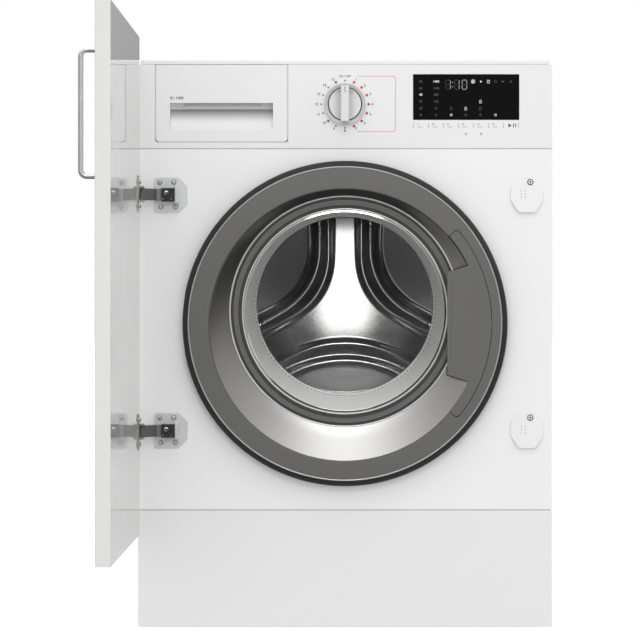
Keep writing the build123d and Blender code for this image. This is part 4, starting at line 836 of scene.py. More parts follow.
sleeve_rounds += [(175.2, -246.5), (177.4, -256.0)]
gasket_rings = on_axis(drum_z, lip_rounds) + throat + on_axis(drum_z, fold_rounds + sleeve_rounds)
gasket = nested(gasket_rings, steps=gasket_steps)
dressed("door_gasket", gasket, "cabinet", [grey_rubber], smooth=50.0)

# Drum: one thin bright steel shell. Its wall is rolled and welded, its front is rolled in round the
# mouth, and its back is pressed with three petals that leave a Y between them.
petals = {30.0: (58.0, 0.16), 150.0: (58.0, 0.16), 270.0: (104.0, -0.012)}
arm_floor = 15.5
first_rise = 25.5
second_foot = 40.0
second_rise = 48.5
step_high = 6.0
petal_high = 9.0
groove_deep = 3.6
dish_reach = 142.0
dish_end = 185.0
crown_high = 10.0
sink_down = 0.0008
sink_across = 0.0009
sink_reach = 40.0
sink_from_y = 15.0
sink_from_x = 20.0
rim_of_back = 222.0
rim_fade = 14.0
back_depth = 134.0
back_steps = 320
drum_steel = finish(
    "drum_steel", (0.66, 0.66, 0.655), 0.15, metallic=1.0, tone=0.03, polish=0.01, grain=500.0, relief=0.01
)
wall_steel = finish(
    "wall_steel", (0.42, 0.42, 0.42), 0.34, metallic=0.5, tone=0.03, polish=0.02, grain=500.0, relief=0.02
)


def eased(value, low, high):
    """How far a value is from low to high, from 0 to 1, with soft ends."""
    share_of = min(1.0, max(0.0, (value - low) / (high - low)))
    return share_of * share_of * (3.0 - 2.0 * share_of)


def fallen(distance, curve):
    """How far the back falls away past a distance: along a curve at first, and then along a slope."""
    bend = min(max(distance, 0.0), sink_reach)
    return curve * bend * (0.5 * bend + max(distance - sink_reach, 0.0))


def pressed(x, y):
    """How far the pressed back stands towards the viewer at a point of it, in millimetres."""
    heading = math.degrees(math.atan2(y, x))
    middle = min(petals, key=lambda petal: abs((heading - petal + 180.0) % 360.0 - 180.0))
    one = math.radians(middle - 60.0)
    other = math.radians(middle + 60.0)
    to_one = y * math.cos(one) - x * math.sin(one)
    to_other = x * math.sin(other) - y * math.cos(other)
    blend, petal_slope = petals[middle]
    near = max(blend - abs(to_one - to_other), 0.0) / blend
    off_arm = min(to_one, to_other) - near * near * blend / 4.0
    reach = math.hypot(x, y)
    rise = step_high * eased(off_arm, arm_floor, first_rise)
    rise -= groove_deep * min(1.0, max(0.0, (off_arm - first_rise) / (second_foot - first_rise)))
    rise += petal_high * eased(off_arm, second_foot, second_rise)
    dish = petal_slope * min(reach, dish_reach) * eased(off_arm, second_foot + 4.0, second_rise + 10.0)
    dish *= 1.0 - eased(reach, dish_reach, dish_end)
    sink = fallen(-y - sink_from_y, sink_down) + fallen(abs(x) - sink_from_x, sink_across)
    crown = crown_high - sink * (1.0 - eased(off_arm, arm_floor, second_foot))
    return max(0.0, rise + crown + dish) * eased(rim_of_back - reach, 0.0, rim_fade)


radii = [1.25 * step for step in range(112)] + [140.0 + 5.75 * step for step in range(17)]
back = turned([(radius, 0.0) for radius in radii], at(0, 0, 0), back_steps)
for vert in back.verts:
    vert.co.z = pressed(vert.co.x / MM, vert.co.y / MM) * MM
bmesh.ops.recalc_face_normals(back, faces=back.faces)
bmesh.ops.transform(back, matrix=front_of(0, back_depth, drum_z), verts=back.verts)
drum_wall = [(232.0, 134.0), (232.9, 134.4), (233.0, 133.0), (233.0, -190.0)]
drum_front = [(232.0, -192.0), (160.0, -192.0), (152.0, -190.6), (150.0, -188.0), (151.0, -185.4)]
drum_front += [(153.5, -185.0), (156.5, -188.4), (161.0, -190.9), (228.0, -190.9), (231.5, -189.4)]
wall = coated(nested(on_axis(drum_z, drum_wall + drum_front + [(232.0, -186.0)])), 1)
dressed("drum", merged([back, wall]), "drum", [drum_steel, wall_steel], smooth=40.0)

# Lifters: three hollow ribs of white plastic that carry the washing round. They are clipped into the
# drum's wall from inside.
dressed("drum_lifters", softened("drum_lifters", 4.0, 4), "drum", [white_plastic], "lifter_plastic")

# Programme knob: a white moulding with a bar across a dished disc, in a groove with a raised skirt round
# it. The groove's near black and the skirt's darker white are painted shade. It is pushed on to the
# encoder's shaft.
knob_z = 756.0
knob_face = -270.0
groove_in = 23.25
groove_out = 24.5
disc_r = 22.3
dish_from = 6.0
dish_wide = 7.0
dish_deep = 5.4
dish_rim = 3.0
disc_rings = 21
knob_white = finish("knob_white", (0.7, 0.7, 0.7), 0.36, tone=0.01, grain=1200.0)
skirt_white_painted_shade = finish("skirt_white_painted_shade", (0.6, 0.6, 0.6), 0.36, tone=0.01, grain=1200.0)
knob_profile = [(3.0, -23.0), (3.0, 0.8), (29.4, 0.8), (29.8, 1.4), (29.8, 7.4), (29.3, 8.0), (28.6, 7.8)]
knob_profile += [(24.6, 4.6), (24.3, 2.6), (23.4, 2.6), (23.2, 6.4), (22.7, 7.0)]
knob_profile += [(22.0 - 1.1 * ring_step, 7.1) for ring_step in range(disc_rings)]
knob = turned(knob_profile, front_of(0, knob_face, knob_z), 120)
# Painted shade: the groove's faces take a near-black finish and the skirt's faces a darker white.
for face in knob.faces:
    middle = face.calc_center_median()
    reach = reach_of(middle, knob_z)
    if groove_in < reach < groove_out and middle.y < (knob_face - 1.0) * MM:
        face.material_index = 1
    elif reach > groove_out and middle.y < (knob_face - 0.8) * MM:
        face.material_index = 2
for vert in knob.verts:
    reach = reach_of(vert.co, knob_z)
    if reach < disc_r and vert.co.y < (knob_face - 6.0) * MM:
        beside = max(0.0, abs(vert.co.x) / MM - dish_from)
        hollow = dish_deep * math.exp(-((beside / dish_wide) ** 2)) * min(1.0, (disc_r - reach) / dish_rim)
        vert.co.y += hollow * MM
bar = block((12.2, 52.0, 20.4), front_of(0, -282.8, knob_z), 1.8, 4)
pointer = block((0.7, 9.0, 0.1), front_of(0, -293.2, knob_z + 20.0), material=1)
knob_finishes = [knob_white, step_grey, skirt_white_painted_shade]
dressed("program_knob", merged([knob, bar, pointer]), "program_knob", knob_finishes, "white_moulding")

# Furniture door: a kitchen front of lacquered board, open at a right angle. Its hinges' cups sit in
# holes bored in its back.
door_lacquer = finish(
    "door_lacquer", (0.66, 0.658, 0.652), 0.03, tone=0.01, polish=0.005, grain=160.0, relief=0.0, specular=0.3
)
board = softened("furniture_door", 0.6)
dressed("furniture_door", board, "furniture_door", [door_lacquer], "lacquered_board")

# Door handle: a round bar of satin steel bent into a D, on the side of the door that faces the room
# when it is shut. Two screws through the board hold it.
bar_r = 3.5
bend_r = 8.0
handle_y = -841.0
handle_low = 629.5
handle_high = 790.5
handle_foot = -314.9
handle_out = -336.5
satin_steel = finish(
    "satin_steel", (0.84, 0.84, 0.83), 0.42, metallic=0.85, tone=0.03, patch=40.0, relief=0.0
)


def carried(bm, edges, move):
    """Draws a bar on from its open end in a straight run."""
    drawn = bmesh.ops.extrude_edge_only(bm, edges=edges)["geom"]
    bmesh.ops.translate(bm, vec=[step * MM for step in move], verts=verts_of(drawn))
    return edges_of(drawn)


def bent(bm, edges, centre):
    """Bends a bar a quarter turn on from its open end, round an upright bend's centre."""
    open_end = list({v for e in edges for v in e.verts}) + edges
    way = {"cent": [c * MM for c in centre], "axis": (0, 1, 0), "angle": math.radians(90.0), "steps": 8}
    return edges_of(bmesh.ops.spin(bm, geom=open_end, **way)["geom_last"])


handle = bmesh.new()
start = at(handle_foot, handle_y, handle_low, -90.0, "Y")
first = bmesh.ops.create_circle(handle, cap_ends=False, segments=24, radius=bar_r * MM, matrix=start)
edge_ring = list({e for v in first["verts"] for e in v.link_edges})
edge_ring = carried(handle, edge_ring, (handle_out + bend_r - handle_foot, 0, 0))
edge_ring = bent(handle, edge_ring, (handle_out + bend_r, handle_y, handle_low + bend_r))
edge_ring = carried(handle, edge_ring, (0, 0, handle_high - handle_low - 2 * bend_r))
edge_ring = bent(handle, edge_ring, (handle_out + bend_r, handle_y, handle_high - bend_r))
carried(handle, edge_ring, (handle_foot - handle_out - bend_r, 0, 0))
bmesh.ops.remove_doubles(handle, verts=handle.verts, dist=1e-6)
bmesh.ops.recalc_face_normals(handle, faces=handle.faces)
dressed("furniture_handle", handle, "furniture_door", [satin_steel])

# Seam strips: thin grey lips that close the gaps round the drawer, under the fascia and over the kick
# panel, a little behind the front. They stand as parts of the mouldings on both sides, and their grey is
# painted shade for the dark of the gaps.
seam_y = -268.6
seam_w = 2.4
seams = [(0.0, 691.75, 596.0, seam_w), (0.0, 170.25, 596.0, seam_w)]
seams.append(((drawer_left + drawer_right) / 2, drawer_foot, drawer_right - drawer_left, seam_w))
seams += [(x, 757.0, seam_w, 110.0) for x in (drawer_left, drawer_right)]
seams += [(x, 703.2, 2 * seam_w, 2 * seam_w) for x in (drawer_left + 1.2, drawer_right - 1.2)]
# Painted shade: the strips' grey stands for the dark of the gaps.
seam_painted_shade = finish("seam_painted_shade", (0.5, 0.5, 0.5), 0.6, relief=0.0)
shapes = [block((wide, high, 0.6), front_of(x, seam_y, z)) for x, z, wide, high in seams]
piece("seam_strips", merged(shapes), "cabinet", [seam_painted_shade])

# Hinge cups: pressed steel cups let into the furniture door, each with a flange, two screws and two
# cheeks that carry the pin.
hinge_heights = (285.0, 625.0)
bright_steel = finish(
    "bright_steel", (0.72, 0.72, 0.71), 0.3, metallic=1.0, tone=0.04, patch=50.0, relief=0.04
)
shapes = [softened("hinge_cups", 0.4)]
for z in hinge_heights:
    for rise in (-17.5, 17.5):
        shapes.append(screw(at(-293.5, -317.5, z + rise, 90.0, "Y")))
dressed("hinge_cups", merged(shapes), "furniture_door", [bright_steel, painted_recess_shade], "satin_steel")

# Hinge arms: cranked straps of grey steel from the blocks to the pivots, with the pins' bright heads
# over and under them.
arm_steel = finish("arm_steel", (0.27, 0.27, 0.27), 0.42, metallic=0.75, tone=0.06, patch=60.0)
pin_profile = [(0, -8.4), (1.4, -8.4), (1.4, 8.4), (0, 8.4)]
shapes = [softened("hinge_arms", 0.4)]
for z in hinge_heights:
    for x, y in ((-290.5, -296.0), (-268.5, -283.4)):
        shapes.append(turned(pin_profile, at(x, y, z), 16, 1))
dressed("hinge_arms", merged(shapes), "cabinet", [arm_steel, bright_steel], "satin_steel")

# Hinge plates: nickelled steel bases screwed to the front, rounded at the left, cut at the right, and
# turned up behind the blocks. Each has four screws.
plate_left = -275.0
plate_screws = ((-267.4, 18.0, 2, 0), (-247.0, 18.4, 1, 20), (-265.8, -17.4, 1, 0), (-244.6, -17.4, 1, 60))
plate_steel = finish("plate_steel", (0.74, 0.745, 0.75), 0.36, metallic=0.35, tone=0.02, relief=0.04)


def round_plate_corners(bm):
    """Rounds the corners at the left of the hinge plates."""
    left = {v for v in bm.verts if abs(v.co.x - plate_left * MM) < 1e-4}
    ends = [e for e in bm.edges if left.issuperset(e.verts)]
    rounded(bm, [e for e in ends if abs(e.verts[0].co.z - e.verts[1].co.z) < 1e-5], 3.2, 5)


shapes = [softened("hinge_plates", 0.35, sharp=50.0, corners=round_plate_corners)]
for z in hinge_heights:
    for x, rise, slots, spin in plate_screws:
        # A near-black rim round each screw is painted shade in its hole.
        rim = [(3.0, 0.05), (3.7, 0.05), (3.7, 0.3), (3.0, 0.3)]
        shapes.append(turned(rim, front_of(x, -272.4, z + rise), 24, 1))
        shapes.append(screw(front_of(x, -272.3, z + rise), 2.9, slots, spin))
dressed("hinge_plates", merged(shapes), "cabinet", [plate_steel, painted_recess_shade], "satin_steel")

# Hinge blocks: black moulded adjusters that clamp the arms, each with one bright screw in a well
# and two small latches under it.
block_screw = (-257.0, -290.0, 2.4)
shapes = [softened("hinge_blocks", 0.4)]
for z in hinge_heights:
    place = front_of(block_screw[0], block_screw[1], z + block_screw[2])
    shapes.append(turned([(4.9, -1.0), (4.9, 0.4), (4.2, 0.4), (4.2, -1.0)], place, 28))
    shapes.append(screw(place, 3.5, 2, 30.0, steel=1, recess=2))
    for x in (-262.0, -250.0):
        shapes.append(block((2.2, 1.2, 1.0), front_of(x, -290.2, z - 6.4), 0.2, 1, 1))
dressed("hinge_blocks", merged(shapes), "cabinet", [black_plastic, bright_steel, painted_recess_shade])

# Hinge covers: white moulded caps over the unused hinge places. Each is flush at the top and stands
# out most along its foot, and one screw in a well holds it.
cover_x = 262.6
cover_y = -270.1
cover_stand = 6.4
cover_foot = -25.75
cover_slope = 0.93
cover_run = 48.0
cover_outline = [(-23.8, -8.0), (-12.5, cover_foot), (12.5, cover_foot), (23.8, -8.0), (23.8, 10.0)]
cover_outline += [(18.6, 21.0), (10.0, 25.7), (-10.0, 25.7), (-18.6, 21.0), (-23.8, 10.0)]
well_x = 4.9
well_z = 18.6
cover_mark_painted_shade = finish("cover_mark_painted_shade", (0.35, 0.35, 0.35), 0.5)


def cover_rise(height):
    """How far a cover stands out at a height over its middle: all of it at the foot, hardly at the top."""
    return cover_stand * (1.0 - cover_slope * min(1.0, max(0.0, (height - cover_foot) / cover_run)))


shapes = []
for z in hinge_heights:
    cover = plate(cover_outline, cover_stand, front_of(0, 0, 0), 1.7, 3.0)
    for vert in cover.verts:
        vert.co.y *= cover_rise(vert.co.z / MM) / cover_stand
    bmesh.ops.translate(cover, vec=(cover_x * MM, cover_y * MM, z * MM), verts=cover.verts)
    place = front_of(cover_x + well_x, cover_y - 0.3 - cover_rise(well_z), z + well_z) @ at(0, 0, 0, -7.0)
    # The near-black well round the screw is painted shade.
    well = turned([(3.4, 0.0), (4.5, 0.0), (4.5, 0.5), (3.4, 0.5)], place, 32, 1)
    shapes += [cover, well, screw(place, 3.4)]
    # Painted shade: grey dashes stand for the shade of small marks moulded in the white cap.
    for side in (-8.3, -2.6):
        for rise in (-3.6, 1.2, 6.0):
            place = front_of(cover_x + side, cover_y - cover_rise(rise), z + rise)
            shapes.append(block((0.9, 2.6, 0.3), place, material=2))
dressed("hinge_covers", merged(shapes), "cabinet", [white_moulding, painted_recess_shade, cover_mark_painted_shade])

# Printed marks on the fascia: dots round the knob with plain numbers, a line round the numbers at its
# right, and small figures on the drawer. All are thin prints on the moulding.
print_grey = plain_mark("print_grey", (0.09, 0.09, 0.095), 0.6)
print_red = plain_mark("print_red", (0.6, 0.035, 0.05), 0.55)
print_pale_red = plain_mark("print_pale_red", (0.72, 0.28, 0.3), 0.55)
front_face = -270.0
print_face = -270.05
dial_reach = 34.2
number_reach = 38.4
dial_steps = 16
red_dots = (1, 2, 3, 4, 5, 6, 7, 10, 15)
bracket_left = 17.8
bracket_right = 73.2
bracket_top = 40.2
bracket_foot = -39.4
bracket_r = 3.4
line_w = 0.9


def figures(words, height, place, material=0, thickness=0.1, align="CENTER"):
    """Plain figures as high as given, printed on a place."""
    line = bpy.data.curves.new("figures", "FONT")
    line.body = words
    line.size = height * MM / 0.7
    line.extrude = 0.5 * thickness * MM
    line.offset = 0.03 * height * MM
    line.resolution_u = 3
    line.align_x = align
    line.align_y = "CENTER"
    holder = bpy.data.objects.new("figures", line)
    flat = bpy.data.meshes.new_from_object(holder)
    bm = bmesh.new()
    bm.from_mesh(flat)
    bpy.data.objects.remove(holder)
    bpy.data.curves.remove(line)
    bpy.data.meshes.remove(flat)
    bmesh.ops.transform(bm, matrix=place, verts=bm.verts)
    return coated(bm, material)


def disc(place, radius, material=0, thickness=0.1, steps=20):
    """A thin printed disc."""
    return turned([(0, 0), (radius, 0), (radius, thickness), (0, thickness)], place, steps, material)


def hoop(place, outer, inner, material=0, thickness=0.1, steps=28):
    """A thin printed ring."""
    profile = [(inner, 0), (outer, 0), (outer, thickness), (inner, thickness), (inner, 0)]
    return turned(profile, place, steps, material)


def by_knob(x, rise, y=print_face, spin=0.0):
    """A place on the fascia, from its distances across and up from the knob's axis."""
    return front_of(x, y, knob_z + rise, spin)


shapes = []
for step in range(dial_steps):
    angle = math.radians(90.0 - 360.0 / dial_steps * step)
    place = by_knob(dial_reach * math.cos(angle), dial_reach * math.sin(angle), front_face)
    shapes.append(disc(place, 2.0, 1) if step in red_dots else disc(place, 1.25))
    if step:
        x = number_reach * math.cos(angle)
        side = "LEFT" if x > 3.0 else "RIGHT" if x < -3.0 else "CENTER"
        shapes.append(figures(str(step), 3.7, by_knob(x, number_reach * math.sin(angle)), align=side))
shapes.append(figures("ON / OFF", 2.9, by_knob(0, 40.2)))
shapes.append(figures("8 | 1400", 4.0, front_of(-252.0, front_face - 0.02, 764.8), align="LEFT"))
run = bracket_right - bracket_r - bracket_left
for rise in (bracket_top, bracket_foot):
    shapes.append(block((run, line_w, 0.1), by_knob(bracket_left + run / 2, rise), material=2))
upright = (line_w, bracket_top - bracket_foot - 2 * bracket_r, 0.1)
shapes.append(block(upright, by_knob(bracket_right, (bracket_top + bracket_foot) / 2), material=2))
for rise, spin in ((bracket_top - bracket_r, 0.0), (bracket_foot + bracket_r, -90.0)):
    bend = block((line_w, 0.02, 0.1), at(bracket_r, 0, 0))
    bmesh.ops.delete(bend, geom=[f for f in bend.faces if f.normal.y < 0.5], context="FACES")
    quarter = {"cent": (0, 0, 0), "axis": (0, 0, 1), "angle": math.pi / 2, "steps": 8}
    bmesh.ops.spin(bend, geom=bend.verts[:] + bend.edges[:] + bend.faces[:], **quarter)
    bmesh.ops.recalc_face_normals(bend, faces=bend.faces)
    place = by_knob(bracket_right - bracket_r, rise, spin=spin)
    bmesh.ops.transform(bend, matrix=place, verts=bend.verts)
    shapes.append(coated(bend, 2))
prints = [print_grey, print_red, print_pale_red]
piece("fascia_prints", merged(shapes), "cabinet", prints, level_faces=False)

# Display's figures: white lit segments and small symbols behind the black plate, some of them dim.
# They are thin bars, rings and discs on its face.
display_face = -270.03
segment_thick = 0.05
mark_thick = 0.04
figure_z = 784.2
figure_high = 13.2
figure_wide = 6.6
warm_x = 109.4
spun_x = 131.6
row_z = (788.7, 779.1, 769.7, 759.9, 750.1, 740.6)
rows = (("90", "1400"), ("60", "1200"), ("40", "800"), ("30", "600"), ("20", ""), ("", ""))
seven = {"0": "abcdef", "1": "bc", "8": "abcdefg"}
lit_figure = plain_mark("lit_figure", (0.5, 0.51, 0.52))
web = lit_figure.node_tree
feed(web, web.nodes["Principled BSDF"], {"Emission Color": (0.9, 0.95, 1.0, 1.0), "Emission Strength": 0.3})
dim_figure = plain_mark("dim_figure", (0.07, 0.072, 0.075))
ghost_figure = plain_mark("ghost_figure", (0.02, 0.021, 0.022))


def on_display(x, z, spin=0.0):
    """A place on the display's face."""
    return front_of(x, display_face, z, spin)


def digit(lit, x, material):
    """One figure of seven bars, of which some are lit."""
    thick = 0.1 * figure_high
    long_bar = figure_high / 2 - thick
    bars = {
        "a": (0.0, 2, figure_wide - thick, thick),
        "g": (0.0, 0, figure_wide - thick, thick),
        "d": (0.0, -2, figure_wide - thick, thick),
        "f": (-0.5, 1, thick, long_bar),
        "b": (0.5, 1, thick, long_bar),
        "e": (-0.5, -1, thick, long_bar),
        "c": (0.5, -1, thick, long_bar),
    }
    made = []
    for name, (side, quarters, across, up) in bars.items():
        if name in lit:
            place = on_display(x + side * figure_wide, figure_z + quarters * figure_high / 4)
            made.append(block((across, up, segment_thick), place, material=material))
    return made


shapes = []
for x, lit in ((149.0, "1"), (161.5, "1"), (172.5, "0")):
    shapes += digit(seven["8"], x, 2) + digit(seven[lit], x, 0)
for rise in (-3.0, 3.0):
    shapes.append(disc(on_display(155.6, figure_z + rise), 0.5, 0, segment_thick, 10))
for z, (warm, spun) in zip(row_z, rows):
    if warm:
        shapes.append(figures(warm, 3.3, on_display(warm_x, z), 0 if warm == "40" else 1, mark_thick))
    else:
        shapes.append(hoop(on_display(warm_x, z), 1.7, 1.2, 1, mark_thick))
        shapes.append(block((3.4, 0.5, mark_thick), on_display(warm_x, z, 45.0), material=1))
    if spun:
        shapes.append(figures(spun, 3.1, on_display(spun_x, z), 0 if spun == "1400" else 1, mark_thick))
    else:
        shapes.append(hoop(on_display(spun_x, z), 1.9, 1.4, 1, mark_thick))
        shapes.append(disc(on_display(spun_x, z), 0.5, 1, mark_thick, 10))
rings = [(184.9, 788.7, 0.0, 2.9, 2.3, 0, 28), (184.9, 788.7, 0.0, 1.7, 0.6, 0, 28)]
rings += [(207.0, 787.9, 0.0, 2.1, 1.5, 0, 28), (217.2, 788.7, 0.0, 2.0, 1.5, 1, 28)]
rings += [(239.4, 788.7, 0.0, 2.0, 1.5, 1, 6)]
bars = [(207.0, 790.6, 4.6, 0.6, 0), (228.0, 788.7, 3.4, 2.2, 1)]
for x, z, lit in ((195.6, 760.0, 0), (174.4, 749.9, 0), (153.2, 749.9, 1), (195.6, 750.0, 1)):
    rings += [(x, z - 0.9, 45.0, 2.4, 1.7, lit, 4), (x, z + 1.2, 0.0, 1.3, 0.9, lit, 16)]
for x, lit in ((153.2, 0), (217.4, 0), (174.4, 1), (195.6, 1)):
    rings.append((x, 740.6, 0.0, 1.8, 1.3, lit, 20))
    bars += [(x, 741.0, 0.4, 1.5, lit), (x + 0.5, 740.4, 1.2, 0.4, lit)]
shapes.append(disc(on_display(196.2, 788.7), 2.0, 0, mark_thick, 3))
for x, z, spin, outer, inner, lit, sides in rings:
    shapes.append(hoop(on_display(x, z, spin), outer, inner, lit, mark_thick, sides))
for x, z, wide, high, lit in bars:
    shapes.append(block((wide, high, mark_thick), on_display(x, z), material=lit))
lights = [lit_figure, dim_figure, ghost_figure]
piece("display_figures", merged(shapes), "cabinet", lights, level_faces=False)

# Touch keys: short marks under the display, each with a plain symbol beside it. They are printed on
# the fascia over the board's sensors, and do not move.
key_face = -270.04
key_thick = 0.08
key_z = 725.4
low_key_z = 713.2
shapes = []
for x in (98.8, 120.6, 142.4, 164.2, 185.6, 207.0, 228.6, 250.8):
    shapes.append(block((0.5, 7.6, key_thick), front_of(x, key_face, key_z)))
for x, sides in ((104.0, 3), (126.0, 20), (147.6, 4), (169.0, 20), (191.0, 6), (212.6, 20)):
    place = front_of(x + 1.6, key_face, key_z + 1.6, 45.0 if sides == 4 else 0.0)
    shapes.append(hoop(place, 1.7, 1.25, 0, key_thick, sides))
    shapes.append(block((6.4, 0.5, key_thick), front_of(x + 4.0, key_face, key_z - 2.4)))
shapes.append(disc(front_of(237.6, key_face, key_z), 3.4, 0, key_thick, 3))
for x in (243.2, 246.4):
    shapes.append(block((1.3, 5.4, key_thick), front_of(x, key_face, key_z)))
for x in (174.6, 196.6):
    shapes.append(hoop(front_of(x, key_face, low_key_z), 1.6, 1.15, 0, key_thick, 16))
    shapes.append(block((2.6, 0.5, key_thick), front_of(x, key_face, low_key_z)))
piece("touch_key_prints", merged(shapes), "cabinet", [print_grey], level_faces=False)

# Control board: a green circuit board on the fascia's back, with the display's module in front of it,
# four relays and the lead's connector behind it, and small parts soldered between them.
board_back = -232.4
part_sizes = ((2.4, 1.4, 1.0), (4.2, 2.6, 1.6), (1.6, 0.9, 0.7))
can_profile = [(0, 0), (4.4, 0), (4.8, 0.6), (4.8, 3.8), (4.2, 4.2), (0, 4.2)]
circuit_board = finish(
    "circuit_board",
    (0.016, 0.1, 0.04),
    0.42,
    tone=0.12,
    grain=1400.0,
    patch=40.0,
    relief=0.2,
    coat=0.3,
    dust=0.08,
)
solder = finish("solder", (0.62, 0.62, 0.6), 0.35, metallic=1.0, tone=0.1, patch=300.0, dust=0.08)
shapes = [softened("control_board", 0.3, 1)]
for row in range(3):
    for column in range(22):
        kind = (row + column) % 3
        size = part_sizes[kind]
        place = back_of(106.0 + 6.4 * column, board_back + size[2] / 2, 748.0 + 14.0 * row)
        shapes.append(block(size, place, 0.2, 1, 1 + kind % 2))
for x in (126.0, 152.0, 178.0, 204.0):
    shapes.append(block((12.0, 12.0, 2.2), back_of(x, board_back + 1.1, 733.0), 0.3, 1, 2))
for x in (44.0, 60.0):
    shapes.append(turned(can_profile, back_of(x, board_back, 770.0), 20, 2))
dressed("control_board", merged(shapes), "cabinet", [circuit_board, solder, black_plastic])

# Coil springs: wound steel wire with a loop at each end. They hang the tub from the brackets; here they
# ride on no body and do not stretch.
spring_x = 215.0
spring_y = 20.0
coil_r = 10.2
wire_r = 1.7
coil_low = 632.0
coil_high = 777.0
coil_turns = 27
coil_steps = 18
loop_r = 4.9
loop_off = 6.4
spring_steel = finish(
    "spring_steel", (0.42, 0.42, 0.43), 0.36, metallic=1.0, tone=0.1, patch=80.0, dust=0.08
)


def wound(place, reach, rise, turns, steps):
    """A wire wound round the third axis of a place, rising as it goes, with closed ends."""
    bm = bmesh.new()
    end = {"segments": 8, "radius": wire_r * MM, "matrix": at(reach, 0, 0, 90.0)}
    made = bmesh.ops.create_circle(bm, cap_ends=True, **end)
    edges = list({e for v in made["verts"] for e in v.link_edges})
    way = {"cent": (0, 0, 0), "axis": (0, 0, 1), "dvec": (0, 0, rise * MM / steps), "steps": steps}
    drawn = bmesh.ops.spin(bm, geom=made["verts"] + edges, angle=math.tau * turns, **way)
    bmesh.ops.edgeloop_fill(bm, edges=edges_of(drawn["geom_last"]))
    bmesh.ops.recalc_face_normals(bm, faces=bm.faces)
    bmesh.ops.transform(bm, matrix=place, verts=bm.verts)
    return bm


shapes = []
bar_profile = [(0, 0), (wire_r, 0), (wire_r, coil_r), (0, coil_r)]
for x in (-spring_x, spring_x):
    place = at(x, spring_y, coil_low)
    shapes.append(wound(place, coil_r, coil_high - coil_low, coil_turns, coil_turns * coil_steps))
    for z, loop_z in ((coil_low, coil_low - loop_off), (coil_high, coil_high + loop_off)):
        shapes.append(turned(bar_profile, at(x, spring_y, z, 90.0, "Y"), 8))
        shapes.append(wound(at(x, spring_y, loop_z, 90.0, "Y"), loop_r, 0.0, 0.999, 24))
springs = piece("tub_springs_wound", merged(shapes), None, [spring_steel], ["tub_springs"])
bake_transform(springs)

# Hoses: corrugated black rubber from the drawer's spout to the tub and from the tub's lowest point to
# the pump, each pushed over its nozzles and held by a steel band at both ends. Here they do not flex.
black_rubber = finish(
    "black_rubber", (0.016, 0.016, 0.016), 0.62, tone=0.15, grain=1300.0, relief=0.35, dust=0.08
)
hose_finishes = [black_rubber, zinc_steel]


def corrugated(x, y, low, high, outer, inner, ends, pitch):
    """A hose with plain ends and rings moulded between them, and a band on each end."""
    neck = outer - 1.4
    valley = outer - 2.4
    crest = outer - 0.2
    profile = [(neck, low), (neck, low + ends)]
    folds = max(1, round((high - low - 2 * ends) / pitch))
    run = (high - low - 2 * ends) / folds
    for fold in range(folds):
        foot = low + ends + fold * run
        profile += [(valley, foot + 0.2 * run), (crest, foot + 0.45 * run), (crest, foot + 0.65 * run)]
        profile += [(valley, foot + 0.9 * run)]
    profile += [(neck, high - ends), (neck, high), (inner, high), (inner, low), (neck, low)]
    made = [turned(profile, at(x, y, 0), 40)]
    band = 0.3 * ends
    for middle in (low + 0.5 * ends, high - 0.5 * ends):
        under, over = middle - band, middle + band
        strap = [(outer - 1.5, under), (outer - 0.4, under), (outer - 0.4, over), (outer - 1.5, over)]
        made.append(turned(strap, at(x, y, 0), 40, 1))
        made.append(block((5.0, 3.0, 2.2 * band), at(x, y - outer + 0.4, middle), 0.4, 1, 1))
    return merged(made)


hose = corrugated(190.0, -150.0, 129.0, 279.7, 22.0, 18.0, 14.0, 9.0)
sump_hose = piece("sump_hose_moulded", hose, None, hose_finishes, ["sump_hose"], 50.0)
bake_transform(sump_hose)
hose = corrugated(-150.0, -70.0, 684.3, 702.0, 18.0, 14.0, 4.4, 4.4)
fill_hose = piece("fill_hose_moulded", hose, None, hose_finishes, ["fill_hose"], 50.0)
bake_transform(fill_hose)

# Drive belt: a black rubber loop with ribs along its inner side, from the motor's pulley to the
# drum's. It is stretched over both, and sits on the tub.
belt_front = 215.5
belt_w = 11.0
belt_lines = 10
groove_low = 1.3
inside_of_loop = Vector((0.0475, 0.0, 0.292))
belt = bmesh.new()
belt.from_mesh(nodes["drive_belt"].data)
bmesh.ops.remove_doubles(belt, verts=belt.verts, dist=2e-6)
for line in range(1, belt_lines):
    whole = belt.verts[:] + belt.edges[:] + belt.faces[:]
    across = {"plane_co": (0, (belt_front + belt_w * line / belt_lines) * MM, 0), "plane_no": (0, 1, 0)}
    bmesh.ops.bisect_plane(belt, geom=whole, dist=1e-7, **across)
belt.normal_update()
for vert in belt.verts:
    line = (vert.co.y / MM - belt_front) / belt_w * belt_lines
    inner_side = (inside_of_loop - vert.co).dot(vert.normal) > 0.0
    if inner_side and round(line) % 2 == 0 and 0.5 < line < belt_lines - 0.5:
        away = Vector((vert.normal.x, 0.0, vert.normal.z)).normalized()
        vert.co -= away * groove_low * MM
piece("drive_belt_ribbed", belt, "tub", [black_rubber], ["drive_belt"], 25.0)

# Counterweights and tub: cast concrete blocks with worn edges, bolted to the tub's top and front, and
# two mouldings of filled plastic, clipped and screwed together round the drum.
concrete = finish(
    "concrete", (0.3, 0.295, 0.285), 0.88, tone=0.2, grain=160.0, patch=30.0, relief=0.9, dust=0.08
)
tub_plastic = finish(
    "tub_plastic", (0.34, 0.345, 0.35), 0.55, tone=0.06, grain=1000.0, relief=0.3, dust=0.08
)
for node, rounding, coat_of in (
    ("counterweight_top", 3.0, concrete),
    ("counterweight_front", 3.0, concrete),
    ("tub_rear", 0.0, tub_plastic),
    ("tub_front", 0.8, tub_plastic),
):
    dressed(node, softened(node, rounding), "tub", [coat_of])

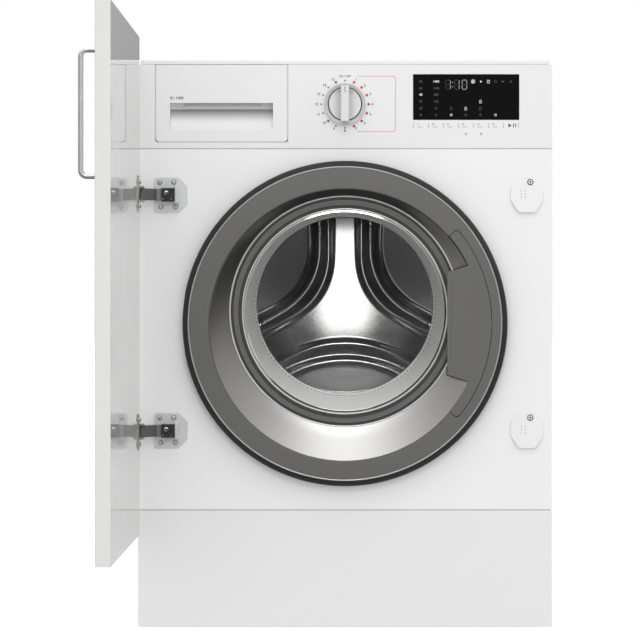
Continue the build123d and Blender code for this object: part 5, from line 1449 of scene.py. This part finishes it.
# Inner pieces of metal and plastic: each is a copy of its solid with moulded, cast or folded edges.
# They are screwed, clipped or pressed to the pieces that carry them.
cast_alloy = finish(
    "cast_alloy", (0.5, 0.5, 0.5), 0.46, metallic=1.0, tone=0.08, grain=420.0, relief=0.45, dust=0.08
)
lifter_plastic = finish("lifter_plastic", (0.42, 0.43, 0.44), 0.48, relief=0.15, dust=0.08)
for node, rounding, body, coat_of in (
    ("front_rail", 0.4, "cabinet", zinc_steel),
    ("encoder_body", 0.5, "cabinet", black_plastic),
    ("inlet_valve", 0.6, "cabinet", white_plastic),
    ("mains_gland", 0.6, "cabinet", black_plastic),
    ("porthole_hinge", 0.5, "cabinet", zinc_steel),
    ("door_lock", 0.6, "cabinet", black_plastic),
    ("suspension_brackets", 0.5, "cabinet", zinc_steel),
    ("damper_cylinders", 0.8, "cabinet", black_plastic),
    ("drain_pump", 1.2, "cabinet", black_plastic),
    ("drain_outlet", 0.6, "cabinet", white_plastic),
    ("porthole_hinge_leaf", 0.5, "porthole_door", zinc_steel),
    ("lever_pins", 0.3, "porthole_door", zinc_steel),
    ("latch_hook", 0.4, "latch_hook", zinc_steel),
    ("siphon_insert", 0.5, "detergent_drawer", lifter_plastic),
    ("heater", 0.5, "tub", zinc_steel),
    ("motor", 1.2, "tub", cast_alloy),
    ("damper_rods", 0.4, "tub", zinc_steel),
    ("drum_spider", 2.0, "drum", cast_alloy),
    ("drum_pulley", 0.8, "drum", cast_alloy),
    ("pulley_bolt", 0.5, "drum", zinc_steel),
    ("motor_rotor", 0.3, "motor_rotor", zinc_steel),
):
    dressed(node, softened(node, rounding), body, [coat_of])

# Connections at the back: the inlet's thread, the mains gland's bore, and the barbs of the waste
# spigot. A waste hose and a water hose push and screw on here.
inlet = (-185.0, 770.0)
spigot = (231.0, 95.0)
gland = (230.0, 770.0)
nipple_back = 262.3
shapes = []
for foot in [2.4 + 2.1 * turn for turn in range(6)]:
    thread = [(13.0, foot), (13.9, foot + 0.7), (13.9, foot + 1.0), (13.0, foot + 1.7)]
    shapes.append(turned(thread, back_of(inlet[0], nipple_back, inlet[1]), 40))
for foot in [6.0 + 4.2 * turn for turn in range(3)]:
    barb = [(9.9, foot), (11.4, foot), (11.2, foot + 0.8), (9.9, foot + 3.4)]
    shapes.append(turned(barb, back_of(spigot[0], nipple_back, spigot[1]), 40))
# Near-black discs in the bores are painted shade.
for (x, z), y, bore_r, steps in ((inlet, 278.1, 8.6, 32), (spigot, 282.1, 7.4, 32), (gland, 270.1, 4.0, 24)):
    shapes.append(disc(back_of(x, y, z), bore_r, 1, 0.2, steps))
piece("rear_connections", merged(shapes), "cabinet", [white_plastic, painted_recess_shade])
